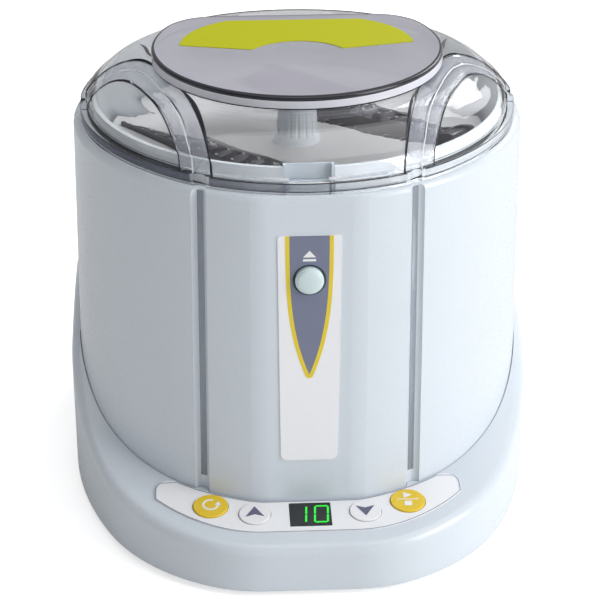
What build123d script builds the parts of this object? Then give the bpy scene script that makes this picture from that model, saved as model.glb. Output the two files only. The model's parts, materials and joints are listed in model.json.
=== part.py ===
from build123d import *
import math
import os

# Small bench centrifuge that spins two microplates under a clear domed lid.
# Millimetres, +Z up, the control panel faces -Y. The origin is the middle of
# the footprint on the table. "Reach" and "radius" values are measured from the
# rotor axis, which stands a little behind the origin.

# -------------------------------------------------------------- the microplates
MICROPLATE_LENGTH = 127.76
MICROPLATE_WIDTH = 85.48
MICROPLATE_HEIGHT = 14.35
WELL_PITCH = 9.0
WELL_RADIUS = 3.3
WELL_DEPTH = 10.9
MICROPLATE_LEAN = 6.0          # degrees that the plates lean outwards
PLATE_SKIRT = 2.5

# -------------------------------------------------------------------- the rotor
POCKET_PLAY = 2.24             # room for a plate along its pocket
POCKET_SIDE_PLAY = 1.4
POCKET_INNER = 26.5            # rotor axis to the near side of a pocket
POCKET_WALL = 1.8
ROTOR_EDGE = 4.1               # deck left outside the pockets' corners
ROTOR_REST = -45.0             # degrees the pockets are turned at rest
ROTOR_DECK = 3.0
ROTOR_SKIRT = 9.0
ROTOR_CORE = 13.0
POCKET_CORNER = 1.2
RIB_THICKNESS = 2.4
RIB_SPACING = 36.0
PLATE_PROUD = 3.98             # how far the plates stand out of the deck
LEAN = math.radians(MICROPLATE_LEAN)
POCKET_LENGTH = MICROPLATE_LENGTH + POCKET_PLAY
POCKET_WIDTH = MICROPLATE_HEIGHT * math.cos(LEAN) + MICROPLATE_WIDTH * math.sin(LEAN) + POCKET_SIDE_PLAY
ROTOR_RADIUS = math.hypot(POCKET_LENGTH / 2, POCKET_INNER + POCKET_WIDTH) + ROTOR_EDGE

# ------------------------------------------------ widths, from the rotor outwards
BOWL_CLEARANCE = 1.2           # rotor to bowl
BOWL_WALL = 1.7
MOUTH_STEP = 2.3               # how much wider the bowl's mouth is
BODY_MARGIN = 9.7              # bowl's mouth to the outside of the upper body
BASE_MARGIN = 6.0              # upper body to the base's flank
DECK_REACH = 32.0              # upper body to the front of the base
BACK_MARGIN = 1.8              # upper body to the back wall of the base
FRONT_CUT = 2.2                # depth of the flat at the front of the upper body
BACK_CUT = 4.5
SOCKET_FLANGE = 2.2            # thickness of the rear socket and switch bezels
BOWL_RADIUS = ROTOR_RADIUS + BOWL_CLEARANCE
BOWL_MOUTH_RADIUS = BOWL_RADIUS + MOUTH_STEP
BODY_RADIUS = BOWL_MOUTH_RADIUS + BODY_MARGIN
BASE_HALF_WIDTH = BODY_RADIUS + BASE_MARGIN
FRONT_REACH = BODY_RADIUS + DECK_REACH
BACK_WALL = BODY_RADIUS + BACK_MARGIN
FRONT_FACET = BODY_RADIUS - FRONT_CUT
BACK_FACET = BODY_RADIUS - BACK_CUT
AXIS_Y = (FRONT_REACH - BACK_WALL - SOCKET_FLANGE) / 2

# ------------------------------------------------------ heights, from the table up
FOOT_HEIGHT = 3.0
PLATE_THICKNESS = 3.0          # bottom plate
MOTOR_GAP = 7.0                # bottom plate to the motor
MOTOR_HEIGHT = 37.0
MOTOR_HEADROOM = 22.0          # motor's plate to the inside of the bowl
ROTOR_GAP = 6.0                # bowl's floor to the floor of the pockets
RIM_RISE = 13.5                # rotor's deck to the plane the lid rests on
BASE_Z = FOOT_HEIGHT
PLATE_TOP = BASE_Z + PLATE_THICKNESS
MOTOR_BOTTOM_Z = PLATE_TOP + MOTOR_GAP
MOTOR_PLATE_Z = MOTOR_BOTTOM_Z + MOTOR_HEIGHT
BOWL_FLOOR_Z = MOTOR_PLATE_Z + MOTOR_HEADROOM
POCKET_FLOOR_Z = BOWL_FLOOR_Z + ROTOR_GAP
DECK_Z = POCKET_FLOOR_Z + MICROPLATE_WIDTH - PLATE_PROUD
RIM_Z = DECK_Z + RIM_RISE

# ---------------------------------------------------------------- base housing
BASE_WALL = 2.8
CORNER_CENTRE_X = 8.0          # middle of the large front corners
FLANK_BULGE = 9.5              # how far the flanks stand out past those corners
FRONT_FLAT_DEPTH = 2.5         # how much the front flat cuts off the corner arcs
FRONT_BLEND = 60.0             # rounds the corners between that flat and the arcs
SIDE_TANGENT_Y = -5.0          # where the flanks become straight
BACK_CORNER_RADIUS = 46.0
CORNER_RADIUS = BASE_HALF_WIDTH - CORNER_CENTRE_X - FLANK_BULGE
BASE_EDGE_RADIUS = 4.5
PANEL_SLOPE = 7.0              # degrees that the control deck falls to the front
DECK_BREAK_Y = 10.0 - BODY_RADIUS       # the straight deck ends here and sweeps up
DECK_BREAK_Z = BASE_Z + 26.8
DECK_SWEEP = [(19.0, 4.4), (44.0, 13.7), (78.0, 31.2), (115.0, 41.7)]  # from that break
DECK_BACK_Y = DECK_BREAK_Y + 152.0
DECK_BACK_Z = DECK_BREAK_Z + 44.2
BOSS_RADIUS = 4.0
BASE_SCREW = 12.0              # length of the screws, heads included
SCREW_RADIUS = 1.5
SCREW_HEAD_RADIUS = 2.8
SCREW_HEAD_HEIGHT = 1.8
SCREW_GAP = 0.05               # radial gap round screw shanks, pins and studs
FIT = 0.3                      # usual gap between separate mouldings

# ----------------------------------------------------------- bottom plate, feet
FOOT_RADIUS = 8.0
FOOT_PLUG_RADIUS = 3.0
FOOT_X = BASE_HALF_WIDTH - 34.0
FOOT_FRONT_Y = 48.0 - FRONT_REACH
FOOT_BACK_Y = BACK_WALL - 45.8
BOARD_THICKNESS = 1.6
BOARD_POST_RADIUS = 3.5
POWER_BOARD_Z = PLATE_TOP + 6.0
POWER_BOARD_X = 31.0 - BASE_HALF_WIDTH
BOARD_SCREW = 9.0

# ------------------------------------------------------------------ upper body
BODY_DRAFT = 1.0               # degrees, wider towards the base
BODY_WALL = 3.0
FACET_BLEND = 30.0             # rounds the corners between the drum and its flats
BODY_SEAM = 0.6                # shadow gap between the body and the lid
SHOULDER_RADIUS = 3.0
GROOVE_ANGLES = (26.9, 90.0)   # degrees each side of the front
GROOVE_RADIUS = 3.7
GROOVE_OFFSET = 1.3            # groove centre line outside the body surface
LEDGE_THICKNESS = 3.6
LEDGE_RADIUS = BOWL_MOUTH_RADIUS + BOWL_WALL + FIT
GROOVE_RIB = 2.5               # wall left behind the grooves
BODY_BOSS_HEIGHT = 24.0
WIRE_DOOR_WIDTH = 40.0
WIRE_DOOR_HEIGHT = 14.0
BODY_BOSS_ANGLES = (50.0, 120.0)
BODY_BOSS_CIRCLE = BODY_RADIUS - 3.1

# ------------------------------------------------------------------- the bowl
BOWL_FLOOR = 2.0
BOWL_STEP_Z = RIM_Z - 30.0
BOWL_STEP_HEIGHT = 8.0
BOWL_LIP = 9.0                 # the lip stands this high above the rim plane
BOWL_LIP_LEAN = 0.6
BOWL_LIP_BACK = BACK_FACET - 7.7        # flat at the back of the lip, clear of the lid
BOWL_FLANGE = 1.7
BOWL_FLANGE_THICKNESS = 1.2
BOWL_CORNER = 8.0
BOWL_BORE = 14.0
GASKET_HEIGHT = 2.2

# --------------------------------------------------------------------- the lid
LID_RADIUS = BODY_RADIUS - 1.5          # flange
LID_FLANGE = 5.2
LID_WALL = 2.4
DOME_FLANK = 34.4              # width of the curved flank round the flat top
DOME_RADIUS = LID_RADIUS - 1.1
DOME_TOP_RADIUS = DOME_RADIUS - DOME_FLANK
DOME_HEIGHT = 23.3
WINDOW_HEIGHT = 5.6            # the thick round window on top of the dome
WINDOW_RADIUS = DOME_TOP_RADIUS + 1.5
WINDOW_BACK = WINDOW_RADIUS - 22.5
WINDOW_CORNER = 24.0
LID_BACK = BACK_FACET - 1.5
DOME_BACK_TOP = LID_BACK - 14.0
LID_RING = LEDGE_RADIUS + FIT           # inner radius of the flange
LOBE_WALL_STEP = 1.6           # how much lower the inside is under the side lobes
ARCH_LINES = (                 # depth under the dome, then the line seen from above, on a unit dome
    (0.9, [
        (-0.390, -1.016), (-0.421, -0.821), (-0.493, -0.472), (-0.575, -0.236),
        (-0.667, -0.031), (-0.760, 0.051), (-0.893, 0.051), (-1.016, 0.031),
    ]),
    (1.4, [
        (-0.462, -1.016), (-0.503, -0.780), (-0.554, -0.544), (-0.616, -0.349),
        (-0.678, -0.185), (-0.760, -0.062), (-0.893, -0.031), (-1.016, -0.051),
    ]),
    (2.2, [
        (-0.513, -1.016), (-0.575, -0.688), (-0.637, -0.472), (-0.708, -0.287),
        (-0.780, -0.164), (-0.852, -0.113), (-1.016, -0.133),
    ]),
)
FLANGE_LINE = 0.7              # line cut round the flange
WINDOW_EDGE = 0.8
STICKER_THICKNESS = 0.3
STICKER_FRONT = (20.0, -5.0)
STICKER_SIDE = (52.0, 2.0)
STICKER_BOW = (45.5, 21.0)
STICKER_BACK = (30.0, 34.0)
STICKER_ARCH = 5.4

# -------------------------------------------------------------------- the hinge
HINGE_Y = BACK_FACET + 3.0
HINGE_DROP = 4.0               # pin centre below the rim plane
PIN_RADIUS = 1.5
KNUCKLE_RADIUS = 3.2
RUNNING_GAP = 0.06
BRACKET_KNUCKLE = (19.0, 30.0)
LID_KNUCKLE = (8.0, 18.6)
HINGE_POCKET_HALF = 34.2
HINGE_POCKET_DEPTH = 33.0
HINGE_POCKET_Y = BACK_FACET - 1.6
HINGE_PLATE = 3.0
BRACKET_RISE = 21.0            # height of the plate that is screwed to the body
HINGE_SCREW = 7.0
LID_LEAF = 1.6
SPRING_HALF = 7.0
SPRING_PITCH = 1.4
SPRING_RADIUS = 2.3
SPRING_WIRE = 0.5

# -------------------------------------------------------------------- the latch
BUTTON_Z = RIM_Z - 38.0
BUTTON_RADIUS = 6.0
BUTTON_FLANGE_RADIUS = 7.4
BUTTON_PROUD = 2.0
LATCH_HALF = 10.5              # half width of the slot through the bowl
LATCH_SLOT_Z = RIM_Z - 31.0
TONGUE_Y = 4.5 - FRONT_FACET            # inner face of the lid's tongue
TONGUE_THICKNESS = 1.2
TONGUE_HALF = 6.5
TONGUE_DROP = 9.0
HOOK_SEAT_Y = 2.83 - FRONT_FACET
HOOK_PAD_HALF = 8.0
HOOK_SLOT_DROP = 4.3
HOOK_SLOT_HEIGHT = 4.1
BUTTON_FLANGE_Y = 3.7 - FRONT_FACET
SLIDE_FRONT_Y = 5.0 - FRONT_FACET
SLIDE_THICKNESS = 1.2
SLIDE_HALF = 6.0
NOSE_HALF = 4.5
NOSE_TIP_Y = 4.8 - FRONT_FACET
LEAF_THICKNESS = 0.25
SWITCH_BACK_Y = 6.8 - FRONT_FACET
SWITCH_DEPTH = 4.6
COVER_HALF = 10.4              # cover of the latch inside the bowl
COVER_WALL = 1.2
COVER_TOP = 10.0
COVER_DEPTH = 3.2

# ---------------------------------------------------------------------- the knob
KNOB_RISE = 7.0                # top of the knob above the rim plane
KNOB_FLANGE = 10.25
KNOB_RADIUS = 9.0
KNOB_FLUTES = 16
STUD_RISE = 8.0

# ---------------------------------------------------------------- drive parts
SHAFT_RADIUS = 4.0
SHAFT_BOTTOM_Z = MOTOR_BOTTOM_Z + 2.0
SHAFT_TOP_Z = DECK_Z - 11.5
HUB_BOTTOM_Z = POCKET_FLOOR_Z + 6.0
HUB_INSERT_RADIUS = 9.0
STUD_RADIUS = 2.5
MOTOR_RADIUS = 29.0
MOTOR_PLATE_THICKNESS = 3.0
MOTOR_PLATE_RADIUS = 56.0
MOUNT_CIRCLE = 47.0
MOUNT_RADIUS = 7.0
MOUNT_HEIGHT = 10.0
BEARING_RADIUS = 11.0
BEARING_WIDTH = 7.0
ARMATURE_RADIUS = 17.0
ARMATURE_Z = MOTOR_BOTTOM_Z + 14.0
ARMATURE_HEIGHT = 17.0
MOTOR_WALL = 4.0
CAVITY_Z = MOTOR_BOTTOM_Z + 11.0
NECK_RADIUS = 15.0
MOTOR_CIRCLE = 22.0
MOUNT_SCREW = 10.8
MOTOR_SCREW = 7.3

# ----------------------------------------------------------------- control panel
OVERLAY_THICKNESS = 0.5
OVERLAY_MARGIN = 10.3          # base edge to the overlay
OVERLAY_HALF = 67.0
OVERLAY_BACK = 62.0            # front of the base to where the overlay may reach
OVERLAY_CORNER = 9.0
OVERLAY_INNER_CORNER = 6.0
ROUND_KEY_X = 43.0
ROUND_KEY_Y = 28.4 - FRONT_REACH
ROUND_KEY_RADIUS = 7.6
ARROW_KEY_X = 24.0
ARROW_KEY_Y = 22.4 - FRONT_REACH
ARROW_KEY_RADIUS = 6.9
KEY_TRAVEL = 0.6
KEY_PROUD = 1.1
KEY_GAP = 0.3
DISPLAY_Y = 21.4 - FRONT_REACH
DISPLAY_WIDTH = 18.0
DISPLAY_DEPTH = 15.4
BOARD_DROP = 10.5              # deck surface to the top of the control board
BOARD_MARGIN = 7.0
BOARD_HALF = 64.0
BOARD_BACK = 52.0
BOARD_GAP = 5.5
OVERLAY_GAP = 3.9
KEY_FLANGE = 1.2
SWITCH_BODY = 3.5

# ------------------------------------------------------------------ front label
LABEL_TOP_Z = RIM_Z - 18.0
LABEL_HEIGHT = 106.0
LABEL_TOP_WIDTH = 26.4
LABEL_FOOT_WIDTH = 24.4
LABEL_FACE = 0.4
LABEL_CORNER = 3.0

# --------------------------------------------------------------- rear connectors
INLET_X = -44.0
INLET_Z = 32.0
INLET_WIDTH = 30.0
INLET_HEIGHT = 24.0
SWITCH_X = 2.0
SWITCH_WIDTH = 13.0
SWITCH_HEIGHT = 19.0
ROCKER_TILT = 9.0              # degrees each side of level
ROCKER_Y = BACK_WALL - 2.8
ROCKER_PIN = 1.0
INLET_DEPTH = 22.0
SOCKET_DEPTH = 17.0
PIN_LENGTH = 13.0
SWITCH_BOX_DEPTH = 14.0
SWITCH_WELL = 10.0

os.makedirs("parts", exist_ok=True)


# ------------------------------------------------------------------ small helpers
def level(z, x=0.0, y=0.0):
    """Horizontal plane at height z, its origin x, y from the rotor axis."""
    return Plane(origin=(x, AXIS_Y + y, z))


def side(x=0.0):
    """Plane across X: local x is depth from the rotor axis, local y is height."""
    return Plane(origin=(x, AXIS_Y, 0), x_dir=(0, 1, 0), z_dir=(1, 0, 0))


def front(y):
    """Upright plane facing -Y: local x is X, local y is height."""
    return Plane(origin=(0, AXIS_Y + y, 0), x_dir=(1, 0, 0), z_dir=(0, -1, 0))


def panel(drop=0.0, x=0.0, y=0.0):
    """Plane on the sloping deck, drop below it, square to its surface."""
    slope = math.radians(PANEL_SLOPE)
    height = deck_height(y)
    normal = Vector(0, -math.sin(slope), math.cos(slope))
    point = Vector(x, AXIS_Y + y, height) - normal * drop
    return Plane(origin=point, x_dir=(1, 0, 0), z_dir=normal)


def deck_height(y):
    """Height of the straight part of the control deck."""
    return DECK_BREAK_Z + (y - DECK_BREAK_Y) * math.tan(math.radians(PANEL_SLOPE))


def body_spread(z):
    """How much wider than at the rim the upper body is at height z."""
    return (RIM_Z - z) * math.tan(math.radians(BODY_DRAFT))


def around(radius, angle):
    """Point at an angle measured from the front, seen from above."""
    return (radius * math.sin(math.radians(angle)), -radius * math.cos(math.radians(angle)))


def save(piece, name):
    piece.part.label = name
    export_step(piece.part, "parts/" + name + ".step")


# ---------------------------------------------------------------- shared outlines
def base_outline(inset=0.0):
    """The base seen from above, its edge moved inwards by inset."""
    corner_y = -(FRONT_REACH + FRONT_FLAT_DEPTH) + CORNER_RADIUS
    reach_x = BASE_HALF_WIDTH - CORNER_CENTRE_X
    reach_y = SIDE_TANGENT_Y - corner_y
    side_radius = (reach_x**2 + reach_y**2 - CORNER_RADIUS**2) / (2 * (reach_x - CORNER_RADIUS))
    side_centre = BASE_HALF_WIDTH - side_radius
    start = math.degrees(math.asin(-(FRONT_REACH + corner_y) / CORNER_RADIUS))
    joint = math.degrees(math.atan2(corner_y - SIDE_TANGENT_Y, CORNER_CENTRE_X - side_centre))
    with BuildSketch() as outline:
        with BuildLine():
            corner = CenterArc((CORNER_CENTRE_X, corner_y), CORNER_RADIUS, start, joint - start)
            Line((0, -FRONT_REACH), corner @ 0)
            flank = CenterArc((side_centre, SIDE_TANGENT_Y), side_radius, joint, -joint)
            back_corner = CenterArc(
                (BASE_HALF_WIDTH - BACK_CORNER_RADIUS, BACK_WALL - BACK_CORNER_RADIUS),
                BACK_CORNER_RADIUS, 0, 90,
            )
            Line(flank @ 1, back_corner @ 0)
            Line(back_corner @ 1, (0, BACK_WALL))
            mirror(about=Plane.YZ)
        make_face()
        fillet(outline.vertices().group_by(Axis.Y)[0].filter_by(lambda v: abs(v.X) > 1), radius=FRONT_BLEND)
        if inset:
            offset(amount=-inset, kind=Kind.INTERSECTION, mode=Mode.REPLACE)
    return outline.sketch


def body_outline(grow):
    """The upper body seen from above: a circle with a front and a back flat."""
    radius = BODY_RADIUS + grow
    with BuildSketch() as outline:
        Circle(radius)
        with Locations((0, -FRONT_FACET - grow)):
            Rectangle(2 * radius, 2 * radius, align=(Align.CENTER, Align.MAX), mode=Mode.SUBTRACT)
        with Locations((0, BACK_FACET + grow)):
            Rectangle(2 * radius, 2 * radius, align=(Align.CENTER, Align.MIN), mode=Mode.SUBTRACT)
        fillet(outline.vertices(), radius=FACET_BLEND)
    return outline.sketch


def tapered_body(grow, bottom, top):
    """Solid of the upper body's outline, wider at the bottom by its draft."""
    with BuildPart() as solid:
        with BuildSketch(level(bottom)):
            add(body_outline(grow + body_spread(bottom)))
        extrude(amount=top - bottom, taper=BODY_DRAFT)
    return solid.part


def below_deck(lift):
    """Everything under the deck's swept surface, raised by lift."""
    front_y = -FRONT_REACH - 20.0
    back_y = BACK_WALL + 20.0
    half_width = BASE_HALF_WIDTH + 30.0
    rise = [(DECK_BREAK_Y + y, DECK_BREAK_Z + z) for y, z in DECK_SWEEP]
    sweep = [(DECK_BREAK_Y, DECK_BREAK_Z)] + rise + [(DECK_BACK_Y, DECK_BACK_Z)]
    lifted = [(y, z + lift) for y, z in sweep]
    slope = math.tan(math.radians(PANEL_SLOPE))
    with BuildPart() as solid:
        with BuildSketch(side(-half_width)):
            with BuildLine():
                start = (front_y, deck_height(front_y) + lift)
                Line(start, lifted[0])
                Spline(*lifted, tangents=((1, slope), (1, 0)))
                Polyline(lifted[-1], (back_y, DECK_BACK_Z + lift), (back_y, -5.0), (front_y, -5.0), start)
            make_face()
        extrude(amount=2 * half_width)
    return solid.part


def grooves(radius, bottom, top, extra=0.0):
    """The upright channels of the body, or thicker bars of the same lines."""
    with BuildPart() as bars:
        for angle in GROOVE_ANGLES:
            for sign in (-1, 1):
                foot = around(BODY_RADIUS + body_spread(bottom) + GROOVE_OFFSET, sign * angle)
                head = around(BODY_RADIUS + body_spread(top) + GROOVE_OFFSET, sign * angle)
                lean = Vector(head[0] - foot[0], head[1] - foot[1], top - bottom)
                with BuildSketch(Plane(origin=(foot[0], AXIS_Y + foot[1], bottom), z_dir=lean)):
                    Circle(radius + extra)
                extrude(amount=lean.length)
    return bars.part


# ================================================== places shared by several parts
BODY_TOP = RIM_Z - BODY_SEAM
LEDGE_Z = RIM_Z - GASKET_HEIGHT - BOWL_FLANGE_THICKNESS
BOWL_OUTER = BOWL_RADIUS + BOWL_WALL
MOUTH_OUTER = BOWL_MOUTH_RADIUS + BOWL_WALL
FLANGE_OUTER = MOUTH_OUTER + BOWL_FLANGE
HOUSING_BOSSES = [(sign * (BASE_HALF_WIDTH - 22), 58 - FRONT_REACH) for sign in (-1, 1)]
HOUSING_BOSSES += [(sign * (BASE_HALF_WIDTH - 11), BACK_WALL - 39.8) for sign in (-1, 1)]
HOUSING_BOSSES += [(0, 8 - FRONT_REACH)]
PANEL_BOSSES = [(sign * 34, 14.5 - FRONT_REACH) for sign in (-1, 1)]
PANEL_BOSSES += [(sign * 57, 40 - FRONT_REACH) for sign in (-1, 1)]
KEYS = {                       # x, y and radius of each cap
    "key_short": (-ROUND_KEY_X, ROUND_KEY_Y, ROUND_KEY_RADIUS),
    "key_up": (-ARROW_KEY_X, ARROW_KEY_Y, ARROW_KEY_RADIUS),
    "key_down": (ARROW_KEY_X, ARROW_KEY_Y, ARROW_KEY_RADIUS),
    "key_start_stop": (ROUND_KEY_X, ROUND_KEY_Y, ROUND_KEY_RADIUS),
}
FOOT_SPOTS = [(x, y) for x in (-FOOT_X, FOOT_X) for y in (FOOT_FRONT_Y, FOOT_BACK_Y)]
BODY_BOSSES = [
    around(BODY_BOSS_CIRCLE, sign * angle) for angle in BODY_BOSS_ANGLES for sign in (-1, 1)
]
MOUNT_SPOTS = [around(MOUNT_CIRCLE, angle) for angle in (45, 135, 225, 315)]
MOTOR_SPOTS = [around(MOTOR_CIRCLE, angle) for angle in (0, 90, 180, 270)]
PANEL_BOSS_SPOTS = [(x, y / math.cos(math.radians(PANEL_SLOPE))) for x, y in PANEL_BOSSES]
HINGE_Z = RIM_Z - HINGE_DROP
HINGE_SPOTS = [(x, RIM_Z - drop) for x in (-24, 24) for drop in (14, 27)]
BOARD_SPOTS = [(POWER_BOARD_X + x, y) for x in (-9, 9) for y in (-38, 38)]
BOARD_SCREW_DROP = BOARD_DROP + BOARD_THICKNESS + SCREW_HEAD_HEIGHT


def screw_set(plane, spots, length):
    """Screws along the plane's normal, their heads standing on the plane."""
    with BuildPart() as screws:
        with BuildSketch(plane):
            with Locations(*spots):
                Circle(SCREW_HEAD_RADIUS)
        extrude(amount=SCREW_HEAD_HEIGHT)
        with BuildSketch(plane):
            with Locations(*spots):
                Circle(SCREW_RADIUS)
        extrude(amount=length)
        with BuildSketch(plane):
            with Locations(*spots):
                Rectangle(3.0, 0.7)
                Rectangle(0.7, 3.0)
        extrude(amount=0.9, mode=Mode.SUBTRACT)
    return screws


def screw_holes(plane, spots, length, head_depth=0.0):
    """Clearance for the same screws, with counterbores for sunk heads."""
    with BuildPart() as holes:
        with BuildSketch(plane):
            with Locations(*spots):
                Circle(SCREW_RADIUS + SCREW_GAP)
        extrude(amount=length)
        if head_depth:
            with BuildSketch(plane):
                with Locations(*spots):
                    Circle(SCREW_HEAD_RADIUS + SCREW_GAP)
            extrude(amount=head_depth)
    return holes.part


# =============================================================== base and casing
with BuildPart() as base_housing:
    with BuildSketch(level(BASE_Z)):
        add(base_outline())
    extrude(amount=DECK_BACK_Z + 10)
    add(below_deck(0), mode=Mode.INTERSECT)
    deck_edges = base_housing.edges().filter_by(lambda e: e.center().Z > BASE_Z + 10)
    deck_edges = deck_edges.filter_by(lambda e: abs((e % 0.5).Z) < 0.9)
    outer_edges = deck_edges.filter_by(
        lambda e: (e @ 0).X * (e @ 1).X >= 0 or abs((e @ 0.5).Y - AXIS_Y) > BODY_RADIUS - 5
    )
    fillet(outer_edges, radius=BASE_EDGE_RADIUS)

with BuildPart() as base_cavity:
    with BuildSketch(level(BASE_Z)):
        add(base_outline(BASE_WALL))
    extrude(amount=DECK_BACK_Z + 10)
    add(below_deck(-BASE_WALL), mode=Mode.INTERSECT)

with BuildPart() as housing_bosses:
    with BuildSketch(level(PLATE_TOP)):
        with Locations(*HOUSING_BOSSES):
            Circle(BOSS_RADIUS)
    extrude(amount=DECK_BACK_Z)
    with BuildSketch(panel(BOARD_DROP)):
        with Locations(*PANEL_BOSS_SPOTS):
            Circle(BOSS_RADIUS - 1)
    extrude(amount=BOARD_DROP)
    add(base_cavity.part, mode=Mode.INTERSECT)

with BuildPart() as body_clearance:
    add(tapered_body(FIT, BASE_Z, RIM_Z))
    add(grooves(GROOVE_RADIUS, BASE_Z - 1, RIM_Z, -FIT), mode=Mode.SUBTRACT)

with base_housing:
    add(base_cavity.part, mode=Mode.SUBTRACT)
    add(housing_bosses.part)
    add(body_clearance.part, mode=Mode.SUBTRACT)
    add(screw_holes(level(PLATE_TOP), HOUSING_BOSSES, BASE_SCREW - 2), mode=Mode.SUBTRACT)
    add(screw_holes(panel(BOARD_SCREW_DROP), PANEL_BOSS_SPOTS, BOARD_SCREW + 0.5), mode=Mode.SUBTRACT)
    for x, y, radius in KEYS.values():
        with BuildSketch(panel(0, x, y)):
            Circle(radius + KEY_GAP)
        extrude(amount=BASE_WALL * 2, both=True, mode=Mode.SUBTRACT)
    with BuildSketch(panel(0, 0, DISPLAY_Y)):
        Rectangle(DISPLAY_WIDTH + 0.2, DISPLAY_DEPTH + 0.2)
    extrude(amount=BASE_WALL * 2, both=True, mode=Mode.SUBTRACT)
    with BuildSketch(front(BACK_WALL)):
        with Locations((INLET_X, INLET_Z)):
            Rectangle(INLET_WIDTH - 3 + 0.2, INLET_HEIGHT - 4 + 0.2)
        with Locations((SWITCH_X, INLET_Z)):
            Rectangle(SWITCH_WIDTH + 0.2, SWITCH_HEIGHT + 0.2)
    extrude(amount=BASE_WALL * 2, both=True, mode=Mode.SUBTRACT)
save(base_housing, "base_housing")

with BuildPart() as bottom_plate:
    with BuildSketch(level(BASE_Z)):
        add(base_outline(BASE_WALL + FIT))
    extrude(amount=PLATE_THICKNESS)
    with BuildSketch(level(PLATE_TOP)):
        with Locations(*MOUNT_SPOTS):
            Circle(MOUNT_RADIUS)
    extrude(amount=MOTOR_PLATE_Z - MOUNT_HEIGHT - PLATE_TOP)
    with BuildSketch(level(PLATE_TOP)):
        with Locations(*BOARD_SPOTS):
            Circle(BOARD_POST_RADIUS)
    extrude(amount=POWER_BOARD_Z - PLATE_TOP)
    with BuildSketch(level(BASE_Z)):
        with Locations(*FOOT_SPOTS):
            Circle(FOOT_PLUG_RADIUS + SCREW_GAP)
        with GridLocations(0, 8, 1, 7):
            SlotOverall(44, 3.2)
    extrude(amount=PLATE_THICKNESS, mode=Mode.SUBTRACT)
    base_holes = HOUSING_BOSSES + BODY_BOSSES
    add(
        screw_holes(level(BASE_Z), base_holes, PLATE_THICKNESS, SCREW_HEAD_HEIGHT),
        mode=Mode.SUBTRACT,
    )
    add(screw_holes(level(POWER_BOARD_Z - 6), BOARD_SPOTS, 7), mode=Mode.SUBTRACT)
save(bottom_plate, "bottom_plate")

with BuildPart() as rubber_feet:
    with BuildSketch(level(0)):
        with Locations(*FOOT_SPOTS):
            Circle(FOOT_RADIUS)
    extrude(amount=FOOT_HEIGHT)
    fillet(rubber_feet.edges().group_by(Axis.Z)[0], radius=0.8)
    with BuildSketch(level(FOOT_HEIGHT)):
        with Locations(*FOOT_SPOTS):
            Circle(FOOT_PLUG_RADIUS)
    extrude(amount=PLATE_THICKNESS)
    with BuildSketch(level(PLATE_TOP)):
        with Locations(*FOOT_SPOTS):
            Circle(FOOT_PLUG_RADIUS + 0.8)
    extrude(amount=1.5)
save(rubber_feet, "rubber_feet")

base_screws = screw_set(level(BASE_Z), HOUSING_BOSSES, BASE_SCREW)
save(base_screws, "base_screws")
body_screws = screw_set(level(BASE_Z), BODY_BOSSES, BASE_SCREW)
save(body_screws, "body_screws")

# The casing above the base: a tapered drum with two flats and four grooves.
with BuildPart() as body_hollow:
    add(tapered_body(-BODY_WALL, PLATE_TOP, LEDGE_Z - LEDGE_THICKNESS))
    add(grooves(GROOVE_RADIUS, PLATE_TOP - 1, RIM_Z, GROOVE_RIB), mode=Mode.SUBTRACT)

with BuildPart() as upper_body:
    add(tapered_body(0, PLATE_TOP, BODY_TOP))
    fillet(upper_body.edges().group_by(Axis.Z)[-1], radius=SHOULDER_RADIUS)
    add(body_hollow.part, mode=Mode.SUBTRACT)
    with BuildSketch(level(LEDGE_Z - LEDGE_THICKNESS)):
        Circle(LEDGE_RADIUS)
    extrude(amount=LEDGE_THICKNESS, mode=Mode.SUBTRACT)
    with BuildSketch(level(LEDGE_Z)):
        Circle(FLANGE_OUTER + 0.2)
    extrude(amount=RIM_Z - LEDGE_Z, mode=Mode.SUBTRACT)
    with BuildSketch(level(PLATE_TOP)):
        with Locations(*BODY_BOSSES):
            Circle(BOSS_RADIUS)
    extrude(amount=BODY_BOSS_HEIGHT)
    add(screw_holes(level(PLATE_TOP), BODY_BOSSES, BASE_SCREW - 2), mode=Mode.SUBTRACT)
    add(grooves(GROOVE_RADIUS, PLATE_TOP - 1, RIM_Z), mode=Mode.SUBTRACT)
    # notch for the latch, seat of the hinge, hole of the button
    with BuildSketch(level(RIM_Z - TONGUE_DROP - 1)):
        with Locations((0, TONGUE_Y - 1.5)):
            Rectangle(2 * LATCH_HALF, 15, align=(Align.CENTER, Align.MIN))
    extrude(amount=TONGUE_DROP + 1, mode=Mode.SUBTRACT)
    with BuildSketch(level(RIM_Z - HINGE_POCKET_DEPTH)):
        with Locations((0, HINGE_POCKET_Y)):
            Rectangle(2 * HINGE_POCKET_HALF, 10, align=(Align.CENTER, Align.MIN))
    extrude(amount=HINGE_POCKET_DEPTH, mode=Mode.SUBTRACT)
    add(screw_holes(front(HINGE_POCKET_Y + 1), HINGE_SPOTS, 4), mode=Mode.SUBTRACT)
    with BuildSketch(front(-FRONT_FACET - 5)):
        with Locations((0, BUTTON_Z)):
            Circle(BUTTON_RADIUS + KEY_GAP)
    extrude(amount=-12, mode=Mode.SUBTRACT)
    # low openings for the rear sockets and for the wires to the panel
    with BuildSketch(front(BACK_WALL)):
        with Locations((INLET_X, INLET_Z)):
            Rectangle(INLET_WIDTH + 1, INLET_HEIGHT + 1)
        with Locations((SWITCH_X, INLET_Z)):
            Rectangle(SWITCH_WIDTH + 3, SWITCH_HEIGHT + 3)
    extrude(amount=30, mode=Mode.SUBTRACT)
    with BuildSketch(front(-FRONT_FACET + 15)):
        with Locations((0, PLATE_TOP)):
            Rectangle(WIRE_DOOR_WIDTH, 2 * WIRE_DOOR_HEIGHT)
    extrude(amount=30, mode=Mode.SUBTRACT)
save(upper_body, "upper_body")

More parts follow.
